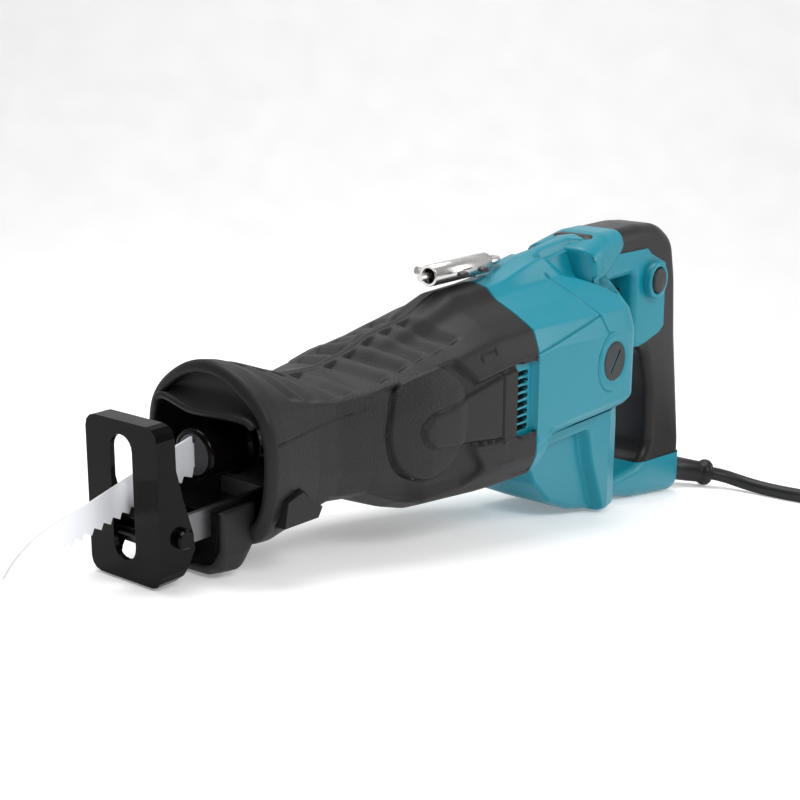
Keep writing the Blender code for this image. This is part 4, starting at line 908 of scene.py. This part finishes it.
def handle_sides(mats):
    """The rubber D-handle, teal plates over the switch and round the base, and the shoulder at its front."""
    outline, hole = rounded(DEE), rounded(GAP_FOR_HAND)
    mesh = pillow(outline, GRIP_HALF, 8.5, 1.3, hole, 6.0, steps=9)
    solids = ("handle_left", "handle_right", "grip_rear", "grip_front")
    new_object("handle_grip", mesh, mats, "rubber", solids, sharp=70)

    def plate(name, corners, flare, widen):
        shell = pillow(outline, GRIP_HALF, 7.5, 1.3, hole, 5.0, steps=9, flare=flare)
        cut = clipped(shell, corners)
        cut.transform(Matrix.Diagonal((1, widen, 1, 1)))
        new_object(name, cut, mats, "teal", sharp=70)

    def taper(x, z):
        wide = np.interp(x, [330, 345, 362, 381], [1.35, 1.32, 1.14, 0.99])
        roof = np.interp(z, [28, 44, 52, 58], [1.0, 0.96, 0.90, 0.80])
        return float(wide * (roof + (1 - roof) * np.interp(x, [345, 381], [0.0, 1.0])))

    plate("switch_cover", PATCH, 0.5, 1.035)
    shoulder = pillow(rounded(SHOULDER), 18.3, 8.5, 1.0, squeeze=taper, steps=14)
    new_object("rear_shoulder", shoulder, mats, "teal", sharp=70)
    plate("handle_base", BASE, 0.35, 1.03)


def clipped(mesh, corners):
    """The part of a mesh whose faces lie within an outline seen from the side."""
    bm = bmesh.new()
    bm.from_mesh(mesh)
    for a, b in zip(corners, corners[1:] + corners[:1]):
        normal = Vector((b[1] - a[1], 0, a[0] - b[0])).normalized()
        bmesh.ops.bisect_plane(bm, geom=[*bm.verts, *bm.edges, *bm.faces], dist=1e-7,
                               plane_co=Vector((a[0], 0, a[1])) * MM, plane_no=normal)
    middles = [f.calc_center_median() / MM for f in bm.faces]
    px = np.array([m.x for m in middles])
    pz = np.array([m.z for m in middles])
    within = edge_distance(px, pz, corners) < 0
    drop = [f for f, good in zip(bm.faces, within) if not good]
    bmesh.ops.delete(bm, geom=drop, context="FACES")
    return from_bmesh(bm)


def make_foot(mats):
    """The wedge below the motor that carries the handle's base, hollowed ahead of a slanted edge."""
    rows = []
    turn = np.linspace(0, pi / 2, 7)[1:]
    belly = [(262.6, -47.5), (266, -56), (276, -74), (292, -89), (314, -99), (338, -105), (366, -108),
             (372, -108.2)]
    for x in np.concatenate([[262.8, 263.2], np.arange(264.0, 371.5, 0.8)]):
        bottom = np.interp(x, *zip(*belly))
        top = np.interp(x, [356, 362, 370, 372], [-44, -80, -100, -103])
        corner = min(3.5, (top - bottom) / 3)
        z = np.linspace(top, bottom + corner, 60)
        edge = np.interp(-z, [50, 70, 104], [321.5, 327.0, 341.0])
        hollow = 6.5 * (1 - ramp(x - edge, -4.5, 0.5)) * ramp(-z, 49.0, 53.0)
        y = 31.6 * np.interp(x, [345, 358, 372], [1, 0.88, 0.56]) - hollow
        y = np.concatenate([y, y[-1] - corner * (1 - np.cos(turn))])
        z = np.concatenate([z, bottom + corner * (1 - np.sin(turn))])
        half = np.column_stack([y, z])
        ring = np.concatenate([half * (-1, 1), half[::-1]])
        rows.append(np.column_stack([np.full(len(ring), x), ring]))
    new_object("handle_foot", swept(rows), mats, "teal", sharp=60)


def make_lock_boss(mats):
    """The collar and the round button that holds the trigger in."""
    place = (411.0, 0, 22.8)
    boss = [(0, -16.0), (11.3, -16.0), (11.3, -22.4), (10.6, -23.3), (8.9, -23.5), (8.3, -23.0), (8.1, -22.0),
            (8.1, -18.5), (0, -18.5)]
    mesh = turned_mesh(boss, "Y", place, 64)
    new_object("lock_button_boss", mesh, mats, "teal", sharp=50)
    button = [(0, -24.6), (6.2, -24.6), (7.1, -24.3), (7.6, -23.6), (7.7, -22.8), (7.7, -20.8), (4.0, -20.8),
              (4.0, -14.7), (0, -14.7)]
    mesh = turned_mesh(button, "Y", place, 56)
    new_object("lock_on_push", mesh, mats, "grey_plastic", ("lock_on_button",), "lock_on", sharp=50)


# ---------------------------------------------------------------- hook
def make_hook(mats):
    """The hook's barrel, its screwed wing and post, and the wire that folds on it."""
    y, z = 2.0, 51.6
    barrel = [(4.2, 211.0), (5.5, 211.0), (5.7, 211.3), (5.7, 260.7), (5.5, 261.0), (4.2, 261.0),
              (4.2, 211.0)]
    mesh = turned_mesh(barrel, "X", (0, y, z), 48)
    new_object("hook_barrel", mesh, mats, "bright_steel", ("hook_bracket",), sharp=45)
    wing = rounded([(216.0, 2.0, 0.5), (260.0, 2.0, 0.5), (260.0, 15.0, 2.5), (216.0, 15.0, 2.5)])
    plate_mesh = pillow(wing, 0.9, 0.35, 0.8, steps=3)
    plate_mesh.transform(Matrix.Translation((0, 0, (z - 1.3) * MM)) @ Matrix.Rotation(-pi / 2, 4, "X"))
    new_object("hook_wing", plate_mesh, mats, "bright_steel", sharp=45)
    for number, x in enumerate((226.0, 244.0)):
        head = [(0, 1.9), (2.4, 1.9), (3.2, 1.2), (3.3, 0.0), (0, 0.0)]
        screw = turned_mesh(head, "Z", (x, -9.4, z - 0.5), 32)
        new_object(f"hook_screw_{number + 1}", screw, mats, "dark_steel", sharp=40)
    post = pillow([(249, -1), (260, -1), (260, 12), (249, 12)], 2.4, 0.3, 1.0, steps=2)
    post.transform(Matrix.Translation((0, 0, 48.2 * MM)) @ Matrix.Rotation(-pi / 2, 4, "X"))
    new_object("hook_post", post, mats, "bright_steel", sharp=45)
    route = [(204.0, y, z), (212.0, y, z), (225.0, y, z), (240.0, y, z), (255.0, y, z), (270.0, y, z),
             (274.5, y + 1.2, z), (277.5, y + 4.5, z - 0.4), (277.5, y + 8.5, z - 1.0),
             (274.5, y + 11.8, z - 1.6), (270.0, y + 13.0, z - 2.0), (255.0, y + 13.0, z - 2.0),
             (240.0, y + 13.0, z - 2.0), (230.0, y + 13.0, z - 2.0), (224.0, y + 13.8, z - 1.2),
             (220.0, y + 15.0, z)]
    points = smooth_route([Vector(p) * MM for p in route], 0.0010)
    mesh = tube_mesh(points, 0.0020, 24)
    new_object("hook_wire", mesh, mats, "bright_steel", ("hook",), "hook", sharp=50)


# ---------------------------------------------------------------- pieces kept from the solid model
KEPT = {
    "black_steel": {"shoe": 1.3, "shoe_pin": 0.4},
    "grey_steel": {"shoe_bracket": 0.25},
    "boot": {"shoe_lock_button": 0.5},
    "blade_steel": {"blade": 0.0},
    "dark_steel": {"blade_holder": 0.3, "slider_yoke": 0.3, "balance_weight": 0.3},
    "bright_steel": {"clamp_pin": 0.1, "clamp_spring": 0.0, "slider_rod": 0.3, "crank_shaft": 0.2,
                     "crank_bearing": 0.2, "armature_shaft": 0.2, "front_bearing": 0.2, "rear_bearing": 0.2,
                     "handle_screw_1": 0.15, "handle_screw_2": 0.15, "handle_screw_3": 0.15,
                     "trigger_spring": 0.0},
    "gear_steel": {"crank_gear": 0.0, "pinion": 0.0},
    "aluminium": {"shoe_guide": 0.4, "gear_case": 0.0, "bearing_plate": 0.3},
    "bronze": {"front_bush": 0.2},
    "rubber": {"rod_seal": 0.1},
    "lamination": {"armature_core": 0.0, "stator": 0.2},
    "copper": {"winding_front": 0.5, "winding_rear": 0.5, "commutator": 0.2, "field_coil_upper": 0.0,
               "field_coil_lower": 0.0},
    "carbon": {"carbon_brush_left": 0.2, "carbon_brush_right": 0.2},
    "brass": {"brush_holder_left": 0.2, "brush_holder_right": 0.2},
    "grey_plastic": {"fan": 0.0, "brush_cap_left": 0.2, "brush_cap_right": 0.2, "trigger": 0.8,
                     "switch_body": 0.5, "cord_clamp": 0.3},
}


def finish_kept(mats):
    """Materials and broken edges, in mm, for every piece that keeps its solid model's shape."""
    for key, widths in KEPT.items():
        for name, width in widths.items():
            ob = bpy.data.objects[name]
            ob.data.materials.clear()
            ob.data.materials.append(mats[key])
            if width:
                bevelled(ob, width)


def main():
    make_camera()
    mats = make_materials()
    make_lead(mats)
    make_studio()
    make_boot(mats)
    make_visor(mats)
    make_chin(mats)
    make_sleeve(mats)
    make_housing(mats)
    handle_sides(mats)
    make_foot(mats)
    make_lock_boss(mats)
    make_hook(mats)
    finish_kept(mats)
    bpy.context.view_layer.update()


main()
